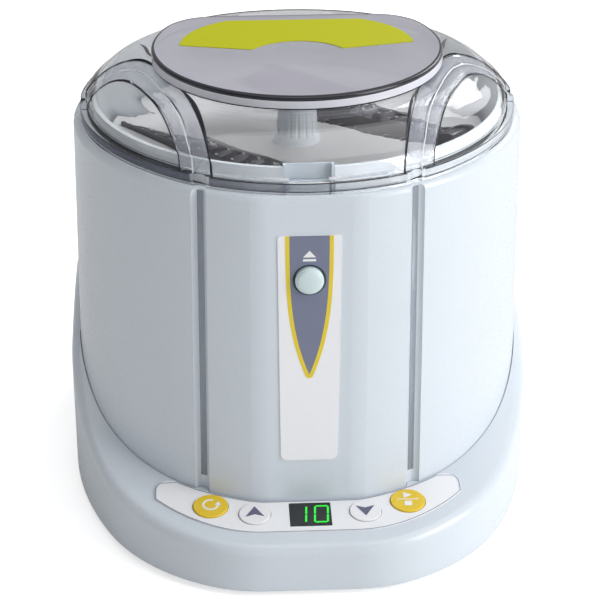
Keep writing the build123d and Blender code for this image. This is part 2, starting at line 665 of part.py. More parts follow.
with BuildPart() as front_label:
    with BuildSketch(front(-FRONT_FACET + 5)) as label_shape:
        with BuildLine():
            foot_z = LABEL_TOP_Z - LABEL_HEIGHT
            Polyline(
                (-LABEL_TOP_WIDTH / 2, LABEL_TOP_Z), (LABEL_TOP_WIDTH / 2, LABEL_TOP_Z),
                (LABEL_FOOT_WIDTH / 2, foot_z), (-LABEL_FOOT_WIDTH / 2, foot_z), close=True,
            )
        make_face()
        fillet(label_shape.vertices().group_by(Axis.Y)[0], radius=LABEL_CORNER)
        fillet(label_shape.vertices().group_by(Axis.Y)[-1], radius=LABEL_CORNER / 3)
        with Locations((0, BUTTON_Z)):
            Circle(BUTTON_RADIUS + KEY_GAP, mode=Mode.SUBTRACT)
    extrude(amount=20)
    add(tapered_body(LABEL_FACE, PLATE_TOP, RIM_Z), mode=Mode.INTERSECT)
    add(tapered_body(0, PLATE_TOP, RIM_Z), mode=Mode.SUBTRACT)
save(front_label, "front_label")

# ====================================================================== the bowl
with BuildPart() as rotor_chamber:
    step_top = BOWL_STEP_Z + BOWL_STEP_HEIGHT
    lip_top = RIM_Z + BOWL_LIP
    flange_top = LEDGE_Z + BOWL_FLANGE_THICKNESS
    with BuildSketch(side()) as bowl_profile:
        with BuildLine():
            Polyline(
                (BOWL_BORE, BOWL_FLOOR_Z), (BOWL_RADIUS, BOWL_FLOOR_Z), (BOWL_RADIUS, BOWL_STEP_Z),
                (BOWL_MOUTH_RADIUS, step_top), (BOWL_MOUTH_RADIUS, RIM_Z),
                (BOWL_MOUTH_RADIUS - BOWL_LIP_LEAN, lip_top), (MOUTH_OUTER - BOWL_LIP_LEAN, lip_top),
                (MOUTH_OUTER, RIM_Z), (MOUTH_OUTER, flange_top), (FLANGE_OUTER, flange_top),
                (FLANGE_OUTER, LEDGE_Z), (MOUTH_OUTER, LEDGE_Z), (MOUTH_OUTER, step_top),
                (BOWL_OUTER, BOWL_STEP_Z), (BOWL_OUTER, BOWL_FLOOR_Z - BOWL_FLOOR),
                (BOWL_BORE, BOWL_FLOOR_Z - BOWL_FLOOR), close=True,
            )
        make_face()
        low = bowl_profile.vertices().filter_by(lambda v: v.Z < BOWL_FLOOR_Z + 1)
        inner = low.filter_by(lambda v: abs(v.Y - AXIS_Y - BOWL_RADIUS) < 0.1)
        outer = low.filter_by(lambda v: abs(v.Y - AXIS_Y - BOWL_OUTER) < 0.1)
        fillet(inner, radius=BOWL_CORNER)
        fillet(outer, radius=BOWL_CORNER + BOWL_WALL)
    revolve(axis=Axis((0, AXIS_Y, 0), (0, 0, 1)))
    with BuildSketch(level(LATCH_SLOT_Z)):
        with Locations((0, -BOWL_RADIUS + 2)):
            Rectangle(2 * LATCH_HALF, 20, align=(Align.CENTER, Align.MAX))
    extrude(amount=lip_top - LATCH_SLOT_Z, mode=Mode.SUBTRACT)
    with BuildSketch(level(RIM_Z - FIT)):
        with Locations((0, BOWL_LIP_BACK)):
            Rectangle(2 * HINGE_POCKET_HALF, 10, align=(Align.CENTER, Align.MIN))
    extrude(amount=BOWL_LIP + 1, mode=Mode.SUBTRACT)
save(rotor_chamber, "rotor_chamber")

with BuildPart() as chamber_gasket:
    with BuildSketch(level(LEDGE_Z + BOWL_FLANGE_THICKNESS)):
        Circle(FLANGE_OUTER - 0.1)
        Circle(MOUTH_OUTER + 0.1, mode=Mode.SUBTRACT)
        with Locations((0, -BOWL_RADIUS + 2)):
            Rectangle(2 * LATCH_HALF, 20, align=(Align.CENTER, Align.MAX), mode=Mode.SUBTRACT)
    extrude(amount=GASKET_HEIGHT)
save(chamber_gasket, "chamber_gasket")

with BuildPart() as shaft_seal:
    with BuildSketch(level(BOWL_FLOOR_Z - BOWL_FLOOR)):
        Circle(BOWL_BORE - SCREW_GAP)
    extrude(amount=BOWL_FLOOR)
    with BuildSketch(level(BOWL_FLOOR_Z)):
        Circle(BOWL_BORE + 2)
    extrude(amount=1.5)
    with BuildSketch(level(BOWL_FLOOR_Z + 1.5)):
        Circle(SHAFT_RADIUS + 2)
    extrude(amount=1.5, taper=20)
    with BuildSketch(level(BOWL_FLOOR_Z - BOWL_FLOOR)):
        Circle(SHAFT_RADIUS + FIT)
    extrude(amount=BOWL_FLOOR + 4, mode=Mode.SUBTRACT)
save(shaft_seal, "shaft_seal")

with BuildPart() as latch_cover:
    cover_side = -BOWL_RADIUS + 0.3
    with BuildSketch(level(LATCH_SLOT_Z)):
        with Locations((0, cover_side)):
            Rectangle(2 * COVER_HALF, COVER_DEPTH, align=(Align.CENTER, Align.MAX))
    extrude(amount=RIM_Z + COVER_TOP - LATCH_SLOT_Z)
    with BuildSketch(level(LATCH_SLOT_Z + COVER_WALL)):
        with Locations((0, cover_side - 1)):
            Rectangle(2 * (COVER_HALF - COVER_WALL), 10, align=(Align.CENTER, Align.MAX))
    extrude(amount=RIM_Z, mode=Mode.SUBTRACT)
    with BuildSketch(level(LATCH_SLOT_Z - 1)):
        with Locations((0, -BOWL_OUTER)):
            Rectangle(2 * (COVER_HALF - COVER_WALL), 10, align=(Align.CENTER, Align.MAX))
    extrude(amount=COVER_WALL + 2, mode=Mode.SUBTRACT)
    top_edges = latch_cover.edges().group_by(Axis.Z)[-1]
    fillet(top_edges.filter_by(Axis.X).sort_by(Axis.Y)[-1], radius=0.6)
save(latch_cover, "latch_cover")


# ======================================================================= the lid
def dome(inset):
    """The lid's outside surface moved inwards by inset, as a solid."""
    rise = DOME_HEIGHT - LID_FLANGE - inset
    with BuildPart() as solid:
        with BuildSketch(side()):
            with BuildLine():
                flank = EllipticalCenterArc(
                    (DOME_TOP_RADIUS, RIM_Z + LID_FLANGE),
                    DOME_RADIUS - DOME_TOP_RADIUS - inset, rise, arc_size=90,
                )
                Polyline(
                    flank @ 1, (0, RIM_Z + LID_FLANGE + rise), (0, RIM_Z - 1),
                    (DOME_RADIUS - inset, RIM_Z - 1), flank @ 0,
                )
            make_face()
        revolve(axis=Axis((0, AXIS_Y, 0), (0, 0, 1)))
    return solid.part


def behind_lid(inset):
    """What the sloping back of the lid cuts away."""
    back = LID_BACK - inset
    top = DOME_BACK_TOP - inset
    with BuildPart() as solid:
        with BuildSketch(side(-BODY_RADIUS)):
            with BuildLine():
                Polyline(
                    (back, RIM_Z - 2), (back, RIM_Z + LID_FLANGE), (top, RIM_Z + DOME_HEIGHT),
                    (top - 5, RIM_Z + 50), (back + 60, RIM_Z + 50), (back + 60, RIM_Z - 2), close=True,
                )
            make_face()
        extrude(amount=2 * BODY_RADIUS)
    return solid.part


def side_lobes(line, shift=0.0):
    """Both front corners of the dome outside an arch line seen from above."""
    far = -LID_RADIUS - 22.0
    points = [(x * DOME_RADIUS - shift, y * DOME_RADIUS - shift) for x, y in line]
    with BuildPart() as solid:
        with BuildSketch(level(RIM_Z + LID_FLANGE)):
            with BuildLine():
                Spline(*points)
                Polyline(points[-1], (far, points[-1][1]), (far, far), (points[0][0], far), points[0])
            make_face()
            mirror(about=Plane.YZ)
        extrude(amount=DOME_HEIGHT)
    return solid.part


def lobe_recess(depth, line):
    """What lies between the dome and a surface deeper down, outside a line."""
    with BuildPart() as solid:
        add(side_lobes(line))
        add(dome(depth), mode=Mode.SUBTRACT)
    return solid.part


with BuildPart() as lid_cavity:
    add(dome(LID_WALL))
    add(side_lobes(ARCH_LINES[0][1], -0.5), mode=Mode.SUBTRACT)
    add(dome(LID_WALL + LOBE_WALL_STEP))
    with BuildSketch(level(RIM_Z - 1)):
        Circle(DOME_RADIUS)
        Circle(LID_RING, mode=Mode.SUBTRACT)
    extrude(amount=LID_FLANGE + 1, mode=Mode.SUBTRACT)
    add(behind_lid(LID_WALL), mode=Mode.SUBTRACT)

with BuildPart() as lid_dome:
    add(dome(0))
    for depth, line in ARCH_LINES:
        add(lobe_recess(depth, line), mode=Mode.SUBTRACT)
    with BuildSketch(level(RIM_Z - 1)):
        Circle(LID_RADIUS)
    extrude(amount=1 + LID_FLANGE)
    with BuildSketch(level(RIM_Z - 1)):
        Circle(LID_RADIUS + 1)
    extrude(amount=1, mode=Mode.SUBTRACT)
    add(behind_lid(0), mode=Mode.SUBTRACT)
    add(lid_cavity.part, mode=Mode.SUBTRACT)
    # line round the flange and notches above the body's grooves
    with BuildSketch(level(RIM_Z + 0.9)):
        Circle(LID_RADIUS + 1)
        Circle(LID_RADIUS - FLANGE_LINE, mode=Mode.SUBTRACT)
    extrude(amount=FLANGE_LINE, mode=Mode.SUBTRACT)
    with BuildSketch(level(RIM_Z - 1)):
        for angle in GROOVE_ANGLES:
            for sign in (-1, 1):
                with Locations(around(LID_RADIUS + GROOVE_OFFSET + 1, sign * angle)):
                    Circle(GROOVE_RADIUS)
    extrude(amount=LID_FLANGE + 1, mode=Mode.SUBTRACT)
    # seat for the hook
    with BuildSketch(level(RIM_Z - 1)):
        with Locations((0, HOOK_SEAT_Y)):
            Rectangle(2 * HOOK_PAD_HALF + 0.1, 8, align=(Align.CENTER, Align.MIN))
    extrude(amount=LID_FLANGE + 0.3, mode=Mode.SUBTRACT)
save(lid_dome, "lid_dome")

with BuildPart() as lid_window:
    with BuildSketch(level(RIM_Z + DOME_HEIGHT)) as window_shape:
        with Locations((0, 0.5)):
            Circle(WINDOW_RADIUS)
        with Locations((0, WINDOW_BACK)):
            Rectangle(3 * WINDOW_RADIUS, WINDOW_RADIUS, align=(Align.CENTER, Align.MIN), mode=Mode.SUBTRACT)
        fillet(window_shape.vertices(), radius=WINDOW_CORNER)
    extrude(amount=WINDOW_HEIGHT)
    fillet(lid_window.edges().group_by(Axis.Z)[-1], radius=WINDOW_EDGE)
save(lid_window, "lid_window")

with BuildPart() as lid_label:
    with BuildSketch(level(RIM_Z + DOME_HEIGHT + WINDOW_HEIGHT)):
        with BuildLine():
            ThreePointArc((-STICKER_FRONT[0], STICKER_FRONT[1]), (0, STICKER_ARCH), STICKER_FRONT)
            for sign in (-1, 1):
                Line((sign * STICKER_FRONT[0], STICKER_FRONT[1]), (sign * STICKER_SIDE[0], STICKER_SIDE[1]))
                ThreePointArc(
                    (sign * STICKER_SIDE[0], STICKER_SIDE[1]), (sign * STICKER_BOW[0], STICKER_BOW[1]),
                    (sign * STICKER_BACK[0], STICKER_BACK[1]),
                )
            Line((-STICKER_BACK[0], STICKER_BACK[1]), STICKER_BACK)
        make_face()
    extrude(amount=STICKER_THICKNESS)
save(lid_label, "lid_label")

with BuildPart() as lid_hook:
    with BuildSketch(level(RIM_Z)):
        with Locations((0, HOOK_SEAT_Y + 0.02)):
            Rectangle(2 * HOOK_PAD_HALF, TONGUE_Y - HOOK_SEAT_Y, align=(Align.CENTER, Align.MIN))
    extrude(amount=LID_FLANGE - 0.8)
    with BuildSketch(level(RIM_Z - TONGUE_DROP)):
        with Locations((0, TONGUE_Y)):
            Rectangle(2 * TONGUE_HALF, TONGUE_THICKNESS, align=(Align.CENTER, Align.MAX))
    extrude(amount=TONGUE_DROP + 1)
    with BuildSketch(front(TONGUE_Y + 5)):
        with Locations((0, RIM_Z - HOOK_SLOT_DROP)):
            Rectangle(2 * TONGUE_HALF - 3, HOOK_SLOT_HEIGHT)
    extrude(amount=10, mode=Mode.SUBTRACT)
save(lid_hook, "lid_hook")


# ===================================================================== the hinge
def hinge_leaf(profile, spans):
    """A side profile with the knuckle circle, extruded over spans of x."""
    with BuildPart() as leaf:
        for start, end in spans:
            with BuildSketch(side(start)):
                with BuildLine():
                    Polyline(*profile, close=True)
                make_face()
                with Locations((HINGE_Y, HINGE_Z)):
                    Circle(KNUCKLE_RADIUS)
            extrude(amount=end - start)
    return leaf.part


def both_sides(span):
    return [span, (-span[1], -span[0])]


with BuildPart() as hinge_bracket:
    back = HINGE_POCKET_Y
    foot = RIM_Z - HINGE_POCKET_DEPTH
    knuckle_profile = [
        (back, foot), (back + HINGE_PLATE, foot), (back + HINGE_PLATE, RIM_Z - 10),
        (HINGE_Y + 2.6, HINGE_Z - 2), (HINGE_Y - KNUCKLE_RADIUS, HINGE_Z), (back, RIM_Z - 8.4),
    ]
    add(hinge_leaf(knuckle_profile, both_sides(BRACKET_KNUCKLE)))
    with BuildSketch(side(-BRACKET_KNUCKLE[1])):
        with Locations((back, foot)):
            Rectangle(HINGE_PLATE, BRACKET_RISE, align=(Align.MIN, Align.MIN))
    extrude(amount=2 * BRACKET_KNUCKLE[1])
    with BuildSketch(side(-BRACKET_KNUCKLE[1])):
        with Locations((HINGE_Y, HINGE_Z)):
            Circle(PIN_RADIUS + SCREW_GAP)
    extrude(amount=2 * BRACKET_KNUCKLE[1], mode=Mode.SUBTRACT)
    add(
        screw_holes(front(back + HINGE_PLATE + 1), HINGE_SPOTS, HINGE_PLATE + 2),
        mode=Mode.SUBTRACT,
    )
save(hinge_bracket, "hinge_bracket")

with BuildPart() as lid_hinge:
    arm_profile = [
        (LID_BACK + 1.3, HINGE_Z), (LID_BACK + 1.3, RIM_Z + 0.2), (LID_BACK, RIM_Z + 0.5),
        (LID_BACK, RIM_Z + 5), (LID_BACK + 2.5, RIM_Z + 5), (HINGE_Y + 2.6, HINGE_Z + 2),
    ]
    add(hinge_leaf(arm_profile, both_sides(LID_KNUCKLE)))
    with BuildSketch(side(-LID_KNUCKLE[1])):
        with Locations((LID_BACK, RIM_Z + 0.5)):
            Rectangle(LID_LEAF, 4.5, align=(Align.MIN, Align.MIN))
    extrude(amount=2 * LID_KNUCKLE[1])
    with BuildSketch(side(-LID_KNUCKLE[1])):
        with Locations((HINGE_Y, HINGE_Z)):
            Circle(PIN_RADIUS + RUNNING_GAP)
    extrude(amount=2 * LID_KNUCKLE[1], mode=Mode.SUBTRACT)
save(lid_hinge, "lid_hinge")

with BuildPart() as hinge_pin:
    with BuildSketch(side(-BRACKET_KNUCKLE[1] - 1)):
        with Locations((HINGE_Y, HINGE_Z)):
            Circle(PIN_RADIUS)
    extrude(amount=2 * BRACKET_KNUCKLE[1] + 2)
    chamfer(hinge_pin.edges().filter_by(GeomType.CIRCLE), length=0.3)
save(hinge_pin, "hinge_pin")

with BuildPart() as hinge_spring:
    spring_start = (-SPRING_HALF, AXIS_Y + HINGE_Y, HINGE_Z)
    with BuildLine():
        coil = Helix(SPRING_PITCH, 2 * SPRING_HALF, SPRING_RADIUS, spring_start, (1, 0, 0))
    with BuildSketch(Plane(origin=coil @ 0, z_dir=coil % 0)):
        Circle(SPRING_WIRE)
    sweep(path=coil, is_frenet=True)
save(hinge_spring, "hinge_spring")

hinge_screws = screw_set(
    front(HINGE_POCKET_Y + HINGE_PLATE + SCREW_HEAD_HEIGHT), HINGE_SPOTS, HINGE_SCREW
)
save(hinge_screws, "hinge_screws")

# ===================================================================== the latch
with BuildPart() as open_button:
    button_face = -FRONT_FACET - body_spread(BUTTON_Z) - LABEL_FACE - BUTTON_PROUD
    with BuildSketch(front(BUTTON_FLANGE_Y)):
        with Locations((0, BUTTON_Z)):
            Circle(BUTTON_RADIUS)
    extrude(amount=BUTTON_FLANGE_Y - button_face)
    fillet(open_button.edges().group_by(Axis.Y)[0], radius=0.9)
    with BuildSketch(front(BUTTON_FLANGE_Y)):
        with Locations((0, BUTTON_Z)):
            Circle(BUTTON_FLANGE_RADIUS)
    extrude(amount=1)
    with BuildSketch(front(SLIDE_FRONT_Y)):
        with Locations((0, BUTTON_Z)):
            Circle(BUTTON_RADIUS / 2)
    extrude(amount=SLIDE_FRONT_Y - BUTTON_FLANGE_Y)
save(open_button, "open_button")

with BuildPart() as latch_slide:
    with BuildSketch(side(-SLIDE_HALF)):
        with BuildLine():
            upper_y = SLIDE_FRONT_Y + 1.1
            Polyline(
                (SLIDE_FRONT_Y, BUTTON_Z - 7), (SLIDE_FRONT_Y + SLIDE_THICKNESS, BUTTON_Z - 7),
                (SLIDE_FRONT_Y + SLIDE_THICKNESS, BUTTON_Z + 8), (upper_y + SLIDE_THICKNESS, BUTTON_Z + 10),
                (upper_y + SLIDE_THICKNESS, RIM_Z - 3), (upper_y, RIM_Z - 3),
                (upper_y, BUTTON_Z + 11), (SLIDE_FRONT_Y, BUTTON_Z + 9), close=True,
            )
        make_face()
    extrude(amount=2 * SLIDE_HALF)
    with BuildSketch(side(-NOSE_HALF)):
        with BuildLine():
            Polyline(
                (upper_y, RIM_Z - 3), (NOSE_TIP_Y, RIM_Z - 5), (NOSE_TIP_Y, RIM_Z - 6.2),
                (upper_y, RIM_Z - 6.2), close=True,
            )
        make_face()
    extrude(amount=2 * NOSE_HALF)
save(latch_slide, "latch_slide")

with BuildPart() as latch_spring:
    with BuildSketch(side(-SLIDE_HALF + 2)):
        with Locations((SLIDE_FRONT_Y + SLIDE_THICKNESS, BUTTON_Z)):
            Rectangle(LEAF_THICKNESS, 12, align=(Align.MIN, Align.CENTER))
    extrude(amount=2 * SLIDE_HALF - 4)
save(latch_spring, "latch_spring")

with BuildPart() as lid_switch:
    with BuildSketch(level(BUTTON_Z - 19)):
        with Locations((0, SWITCH_BACK_Y)):
            Rectangle(14, SWITCH_DEPTH, align=(Align.CENTER, Align.MAX))
    extrude(amount=8)
    with BuildSketch(level(BUTTON_Z - 11)):
        with Locations((0, SWITCH_BACK_Y - SWITCH_DEPTH / 2)):
            Circle(1)
    extrude(amount=3.4)
save(lid_switch, "lid_switch")


# ===================================================================== the rotor
def turned(z):
    """Horizontal plane at height z, turned with the rotor at rest."""
    rest = math.radians(ROTOR_REST)
    return Plane(origin=(0, AXIS_Y, z), x_dir=(math.cos(rest), math.sin(rest), 0), z_dir=(0, 0, 1))


def facing_down(z):
    """Horizontal plane at height z whose normal points down."""
    return Plane(origin=(0, AXIS_Y, z), x_dir=(1, 0, 0), z_dir=(0, 0, -1))


POCKET_CENTRE = POCKET_INNER + POCKET_WIDTH / 2
POCKET_SPOTS = [(0, -POCKET_CENTRE), (0, POCKET_CENTRE)]

with BuildPart() as rotor_head:
    with BuildSketch(turned(DECK_Z - ROTOR_SKIRT)):
        Circle(ROTOR_RADIUS)
    extrude(amount=ROTOR_SKIRT)
    fillet(rotor_head.edges().group_by(Axis.Z)[-1], radius=1.5)
    with BuildSketch(turned(DECK_Z - ROTOR_SKIRT)):
        Circle(ROTOR_RADIUS - POCKET_WALL)
    extrude(amount=ROTOR_SKIRT - ROTOR_DECK, mode=Mode.SUBTRACT)
    with BuildSketch(turned(HUB_BOTTOM_Z)):
        Circle(ROTOR_CORE)
    extrude(amount=DECK_Z - ROTOR_DECK - HUB_BOTTOM_Z)
    with BuildSketch(turned(HUB_BOTTOM_Z + 16)):
        with GridLocations(RIB_SPACING, 0, 3, 1):
            Rectangle(RIB_THICKNESS, 2 * (POCKET_INNER - POCKET_WALL))
    extrude(amount=DECK_Z - ROTOR_DECK - HUB_BOTTOM_Z - 16)
    with BuildSketch(turned(DECK_Z - ROTOR_DECK)):
        with Locations(*POCKET_SPOTS):
            RectangleRounded(POCKET_LENGTH, POCKET_WIDTH, POCKET_CORNER)
    extrude(amount=ROTOR_DECK, mode=Mode.SUBTRACT)
    with BuildSketch(turned(HUB_BOTTOM_Z)):
        Circle(HUB_INSERT_RADIUS)
    extrude(amount=DECK_Z, mode=Mode.SUBTRACT)
save(rotor_head, "rotor_head")


def plate_pocket(spot):
    """Open-topped box under the deck that carries one microplate."""
    with BuildPart() as pocket:
        with BuildSketch(turned(POCKET_FLOOR_Z - POCKET_WALL)):
            with Locations(spot):
                RectangleRounded(
                    POCKET_LENGTH + 2 * POCKET_WALL, POCKET_WIDTH + 2 * POCKET_WALL,
                    POCKET_CORNER + POCKET_WALL,
                )
        extrude(amount=DECK_Z - ROTOR_DECK - POCKET_FLOOR_Z + POCKET_WALL)
        with BuildSketch(turned(POCKET_FLOOR_Z)):
            with Locations(spot):
                RectangleRounded(POCKET_LENGTH, POCKET_WIDTH, POCKET_CORNER)
        extrude(amount=DECK_Z, mode=Mode.SUBTRACT)
    return pocket


for name, spot in zip(("pocket_front", "pocket_back"), POCKET_SPOTS):
    save(plate_pocket(spot), name)

with BuildPart() as rotor_hub:
    with BuildSketch(turned(HUB_BOTTOM_Z)):
        Circle(HUB_INSERT_RADIUS - SCREW_GAP)
    extrude(amount=DECK_Z - HUB_BOTTOM_Z)
    with BuildSketch(turned(HUB_BOTTOM_Z)):
        Circle(SHAFT_RADIUS + SCREW_GAP)
    extrude(amount=SHAFT_TOP_Z - HUB_BOTTOM_Z, mode=Mode.SUBTRACT)
    with BuildSketch(turned(SHAFT_TOP_Z)):
        Circle(STUD_RADIUS + SCREW_GAP)
    extrude(amount=DECK_Z - SHAFT_TOP_Z, mode=Mode.SUBTRACT)
save(rotor_hub, "rotor_hub")


def microplate(sign):
    """A plate of 96 wells on its long edge, leaning outwards in its pocket."""
    rest = math.radians(ROTOR_REST)
    along = Vector(math.cos(rest), math.sin(rest), 0)
    out = Vector(-math.sin(rest), math.cos(rest), 0) * sign
    wells = Vector(0, 0, math.sin(LEAN)) - out * math.cos(LEAN)
    rise = (MICROPLATE_WIDTH * math.cos(LEAN) + MICROPLATE_HEIGHT * math.sin(LEAN)) / 2
    centre = Vector(0, AXIS_Y, POCKET_FLOOR_Z + 0.2 + rise) + out * POCKET_CENTRE
    face = Plane(origin=centre + wells * MICROPLATE_HEIGHT / 2, x_dir=along, z_dir=wells)
    upper = MICROPLATE_HEIGHT - PLATE_SKIRT
    with BuildPart() as plate:
        with BuildSketch(face):
            RectangleRounded(MICROPLATE_LENGTH - 3.4, MICROPLATE_WIDTH - 3.4, 4)
        extrude(amount=-upper)
        with BuildSketch(face.offset(-upper)):
            RectangleRounded(MICROPLATE_LENGTH, MICROPLATE_WIDTH, 3)
        extrude(amount=-PLATE_SKIRT)
        with BuildSketch(face):
            with GridLocations(WELL_PITCH, WELL_PITCH, 12, 8):
                Circle(WELL_RADIUS)
        extrude(amount=-WELL_DEPTH, mode=Mode.SUBTRACT)
    return plate


save(microplate(-1), "microplate_front")
save(microplate(1), "microplate_back")

with BuildPart() as rotor_knob:
    knob_top = RIM_Z + KNOB_RISE
    with BuildSketch(side()):
        with BuildLine():
            Polyline(
                (0, knob_top), (0, DECK_Z), (KNOB_FLANGE, DECK_Z), (KNOB_FLANGE, DECK_Z + 2.2),
                (KNOB_RADIUS, DECK_Z + 3.2), (KNOB_RADIUS - 0.5, knob_top - 3.5),
            )
            Spline(
                (KNOB_RADIUS - 0.5, knob_top - 3.5), (KNOB_RADIUS - 3, knob_top - 0.9), (0, knob_top),
                tangents=((0, 1), (-1, 0)),
            )
        make_face()
    revolve(axis=Axis((0, AXIS_Y, 0), (0, 0, 1)))
    with BuildSketch(turned(DECK_Z + 3.6)):
        with PolarLocations(KNOB_RADIUS + 0.5, KNOB_FLUTES):
            Circle(1.1)
    extrude(amount=knob_top - DECK_Z - 7, mode=Mode.SUBTRACT)
    with BuildSketch(turned(DECK_Z)):
        Circle(STUD_RADIUS + SCREW_GAP)
    extrude(amount=STUD_RISE, mode=Mode.SUBTRACT)
save(rotor_knob, "rotor_knob")

with BuildPart() as knob_stud:
    with BuildSketch(turned(SHAFT_TOP_Z + 1)):
        Circle(STUD_RADIUS)
    extrude(amount=DECK_Z - SHAFT_TOP_Z - 1 + STUD_RISE)
    chamfer(knob_stud.edges().group_by(Axis.Z)[0], length=0.5)
save(knob_stud, "knob_stud")

# ===================================================================== the drive
with BuildPart() as motor_shaft:
    with BuildSketch(turned(SHAFT_BOTTOM_Z)):
        Circle(SHAFT_RADIUS)
    extrude(amount=SHAFT_TOP_Z - SHAFT_BOTTOM_Z)
    chamfer(motor_shaft.edges().filter_by(GeomType.CIRCLE), length=0.5)
save(motor_shaft, "motor_shaft")

with BuildPart() as motor_armature:
    with BuildSketch(turned(ARMATURE_Z)):
        Circle(ARMATURE_RADIUS)
        with PolarLocations(ARMATURE_RADIUS - 2, 12):
            Rectangle(5, 1.6, mode=Mode.SUBTRACT)
    extrude(amount=ARMATURE_HEIGHT)
    with BuildSketch(turned(ARMATURE_Z)):
        Circle(SHAFT_RADIUS + SCREW_GAP)
    extrude(amount=ARMATURE_HEIGHT, mode=Mode.SUBTRACT)
save(motor_armature, "motor_armature")

with BuildPart() as motor_housing:
    with BuildSketch(level(MOTOR_BOTTOM_Z)):
        Circle(MOTOR_RADIUS)
    extrude(amount=MOTOR_PLATE_Z - MOTOR_BOTTOM_Z)
    fillet(motor_housing.edges().group_by(Axis.Z)[0], radius=2)
    with BuildSketch(level(MOTOR_PLATE_Z)):
        Circle(NECK_RADIUS)
    extrude(amount=BEARING_WIDTH)
    with BuildSketch(level(CAVITY_Z)):
        Circle(MOTOR_RADIUS - MOTOR_WALL)
    extrude(amount=MOTOR_PLATE_Z - 3 - CAVITY_Z, mode=Mode.SUBTRACT)
    with BuildSketch(level(SHAFT_BOTTOM_Z - 0.5)):
        Circle(SHAFT_RADIUS + 2)
    extrude(amount=MOTOR_PLATE_Z, mode=Mode.SUBTRACT)
    with BuildSketch(level(CAVITY_Z - BEARING_WIDTH - 1)):
        Circle(BEARING_RADIUS + SCREW_GAP)
    extrude(amount=BEARING_WIDTH + 1, mode=Mode.SUBTRACT)
    with BuildSketch(level(MOTOR_PLATE_Z)):
        Circle(BEARING_RADIUS + SCREW_GAP)
    extrude(amount=BEARING_WIDTH, mode=Mode.SUBTRACT)
    add(screw_holes(facing_down(MOTOR_PLATE_Z), MOTOR_SPOTS, 3), mode=Mode.SUBTRACT)
save(motor_housing, "motor_housing")

with BuildPart() as motor_stator:
    with BuildSketch(level(ARMATURE_Z - 1)):
        Circle(MOTOR_RADIUS - MOTOR_WALL - SCREW_GAP)
        Circle(ARMATURE_RADIUS + 1, mode=Mode.SUBTRACT)
        with PolarLocations(ARMATURE_RADIUS + 3, 4, start_angle=45):
            Rectangle(5, 3, mode=Mode.SUBTRACT)
    extrude(amount=ARMATURE_HEIGHT + 2)
save(motor_stator, "motor_stator")

with BuildPart() as motor_bearings:
    for bottom in (CAVITY_Z - BEARING_WIDTH - 1, MOTOR_PLATE_Z):
        with BuildSketch(level(bottom)):
            Circle(BEARING_RADIUS)
            Circle(SHAFT_RADIUS + SCREW_GAP, mode=Mode.SUBTRACT)
        extrude(amount=BEARING_WIDTH)
        with BuildSketch(level(bottom + BEARING_WIDTH - 0.8)):
            Circle(BEARING_RADIUS - 2)
            Circle(SHAFT_RADIUS + 2, mode=Mode.SUBTRACT)
        extrude(amount=0.8, mode=Mode.SUBTRACT)
save(motor_bearings, "motor_bearings")

with BuildPart() as motor_plate:
    with BuildSketch(level(MOTOR_PLATE_Z)):
        Circle(MOTOR_PLATE_RADIUS)
        Circle(NECK_RADIUS + FIT, mode=Mode.SUBTRACT)
        with PolarLocations(MOUNT_CIRCLE - 6, 4):
            Circle(8, mode=Mode.SUBTRACT)
    extrude(amount=MOTOR_PLATE_THICKNESS)
    plate_holes = MOUNT_SPOTS + MOTOR_SPOTS
    add(screw_holes(level(MOTOR_PLATE_Z), plate_holes, MOTOR_PLATE_THICKNESS), mode=Mode.SUBTRACT)
save(motor_plate, "motor_plate")

with BuildPart() as vibration_mounts:
    with BuildSketch(level(MOTOR_PLATE_Z - MOUNT_HEIGHT)):
        with Locations(*MOUNT_SPOTS):
            Circle(MOUNT_RADIUS)
            Circle(SCREW_RADIUS + SCREW_GAP, mode=Mode.SUBTRACT)
    extrude(amount=MOUNT_HEIGHT)
    with Locations(*[(x, AXIS_Y + y, MOTOR_PLATE_Z - MOUNT_HEIGHT / 2) for x, y in MOUNT_SPOTS]):
        Torus(MOUNT_RADIUS + 1, 2.5, mode=Mode.SUBTRACT)
save(vibration_mounts, "vibration_mounts")

plate_top = MOTOR_PLATE_Z + MOTOR_PLATE_THICKNESS + SCREW_HEAD_HEIGHT
mount_screws = screw_set(facing_down(plate_top), MOUNT_SPOTS, MOUNT_SCREW)
save(mount_screws, "mount_screws")
motor_screws = screw_set(facing_down(plate_top), MOTOR_SPOTS, MOTOR_SCREW)
save(motor_screws, "motor_screws")

# ================================================================== the controls
with BuildPart() as panel_overlay:
    with BuildSketch(level(BASE_Z)) as overlay_shape:
        add(base_outline(OVERLAY_MARGIN))
        with Locations((0, -FRONT_REACH)):
            Rectangle(2 * OVERLAY_HALF, OVERLAY_BACK, align=(Align.CENTER, Align.MIN), mode=Mode.INTERSECT)
        add(body_outline(OVERLAY_GAP), mode=Mode.SUBTRACT)
        ends = overlay_shape.vertices().filter_by(lambda v: abs(abs(v.X) - OVERLAY_HALF) < 0.1)
        fillet(ends.sort_by(Axis.Y)[2:], radius=OVERLAY_INNER_CORNER)
        fillet(ends.sort_by(Axis.Y)[:2], radius=OVERLAY_CORNER)
    extrude(amount=DECK_BACK_Z)
    add(below_deck(OVERLAY_THICKNESS), mode=Mode.INTERSECT)
    add(below_deck(0), mode=Mode.SUBTRACT)
    for x, y, radius in KEYS.values():
        with BuildSketch(panel(0, x, y)):
            Circle(radius + KEY_GAP)
        extrude(amount=2, both=True, mode=Mode.SUBTRACT)
    with BuildSketch(panel(0, 0, DISPLAY_Y)):
        Rectangle(DISPLAY_WIDTH + 0.2, DISPLAY_DEPTH + 0.2)
    extrude(amount=2, both=True, mode=Mode.SUBTRACT)
save(panel_overlay, "panel_overlay")

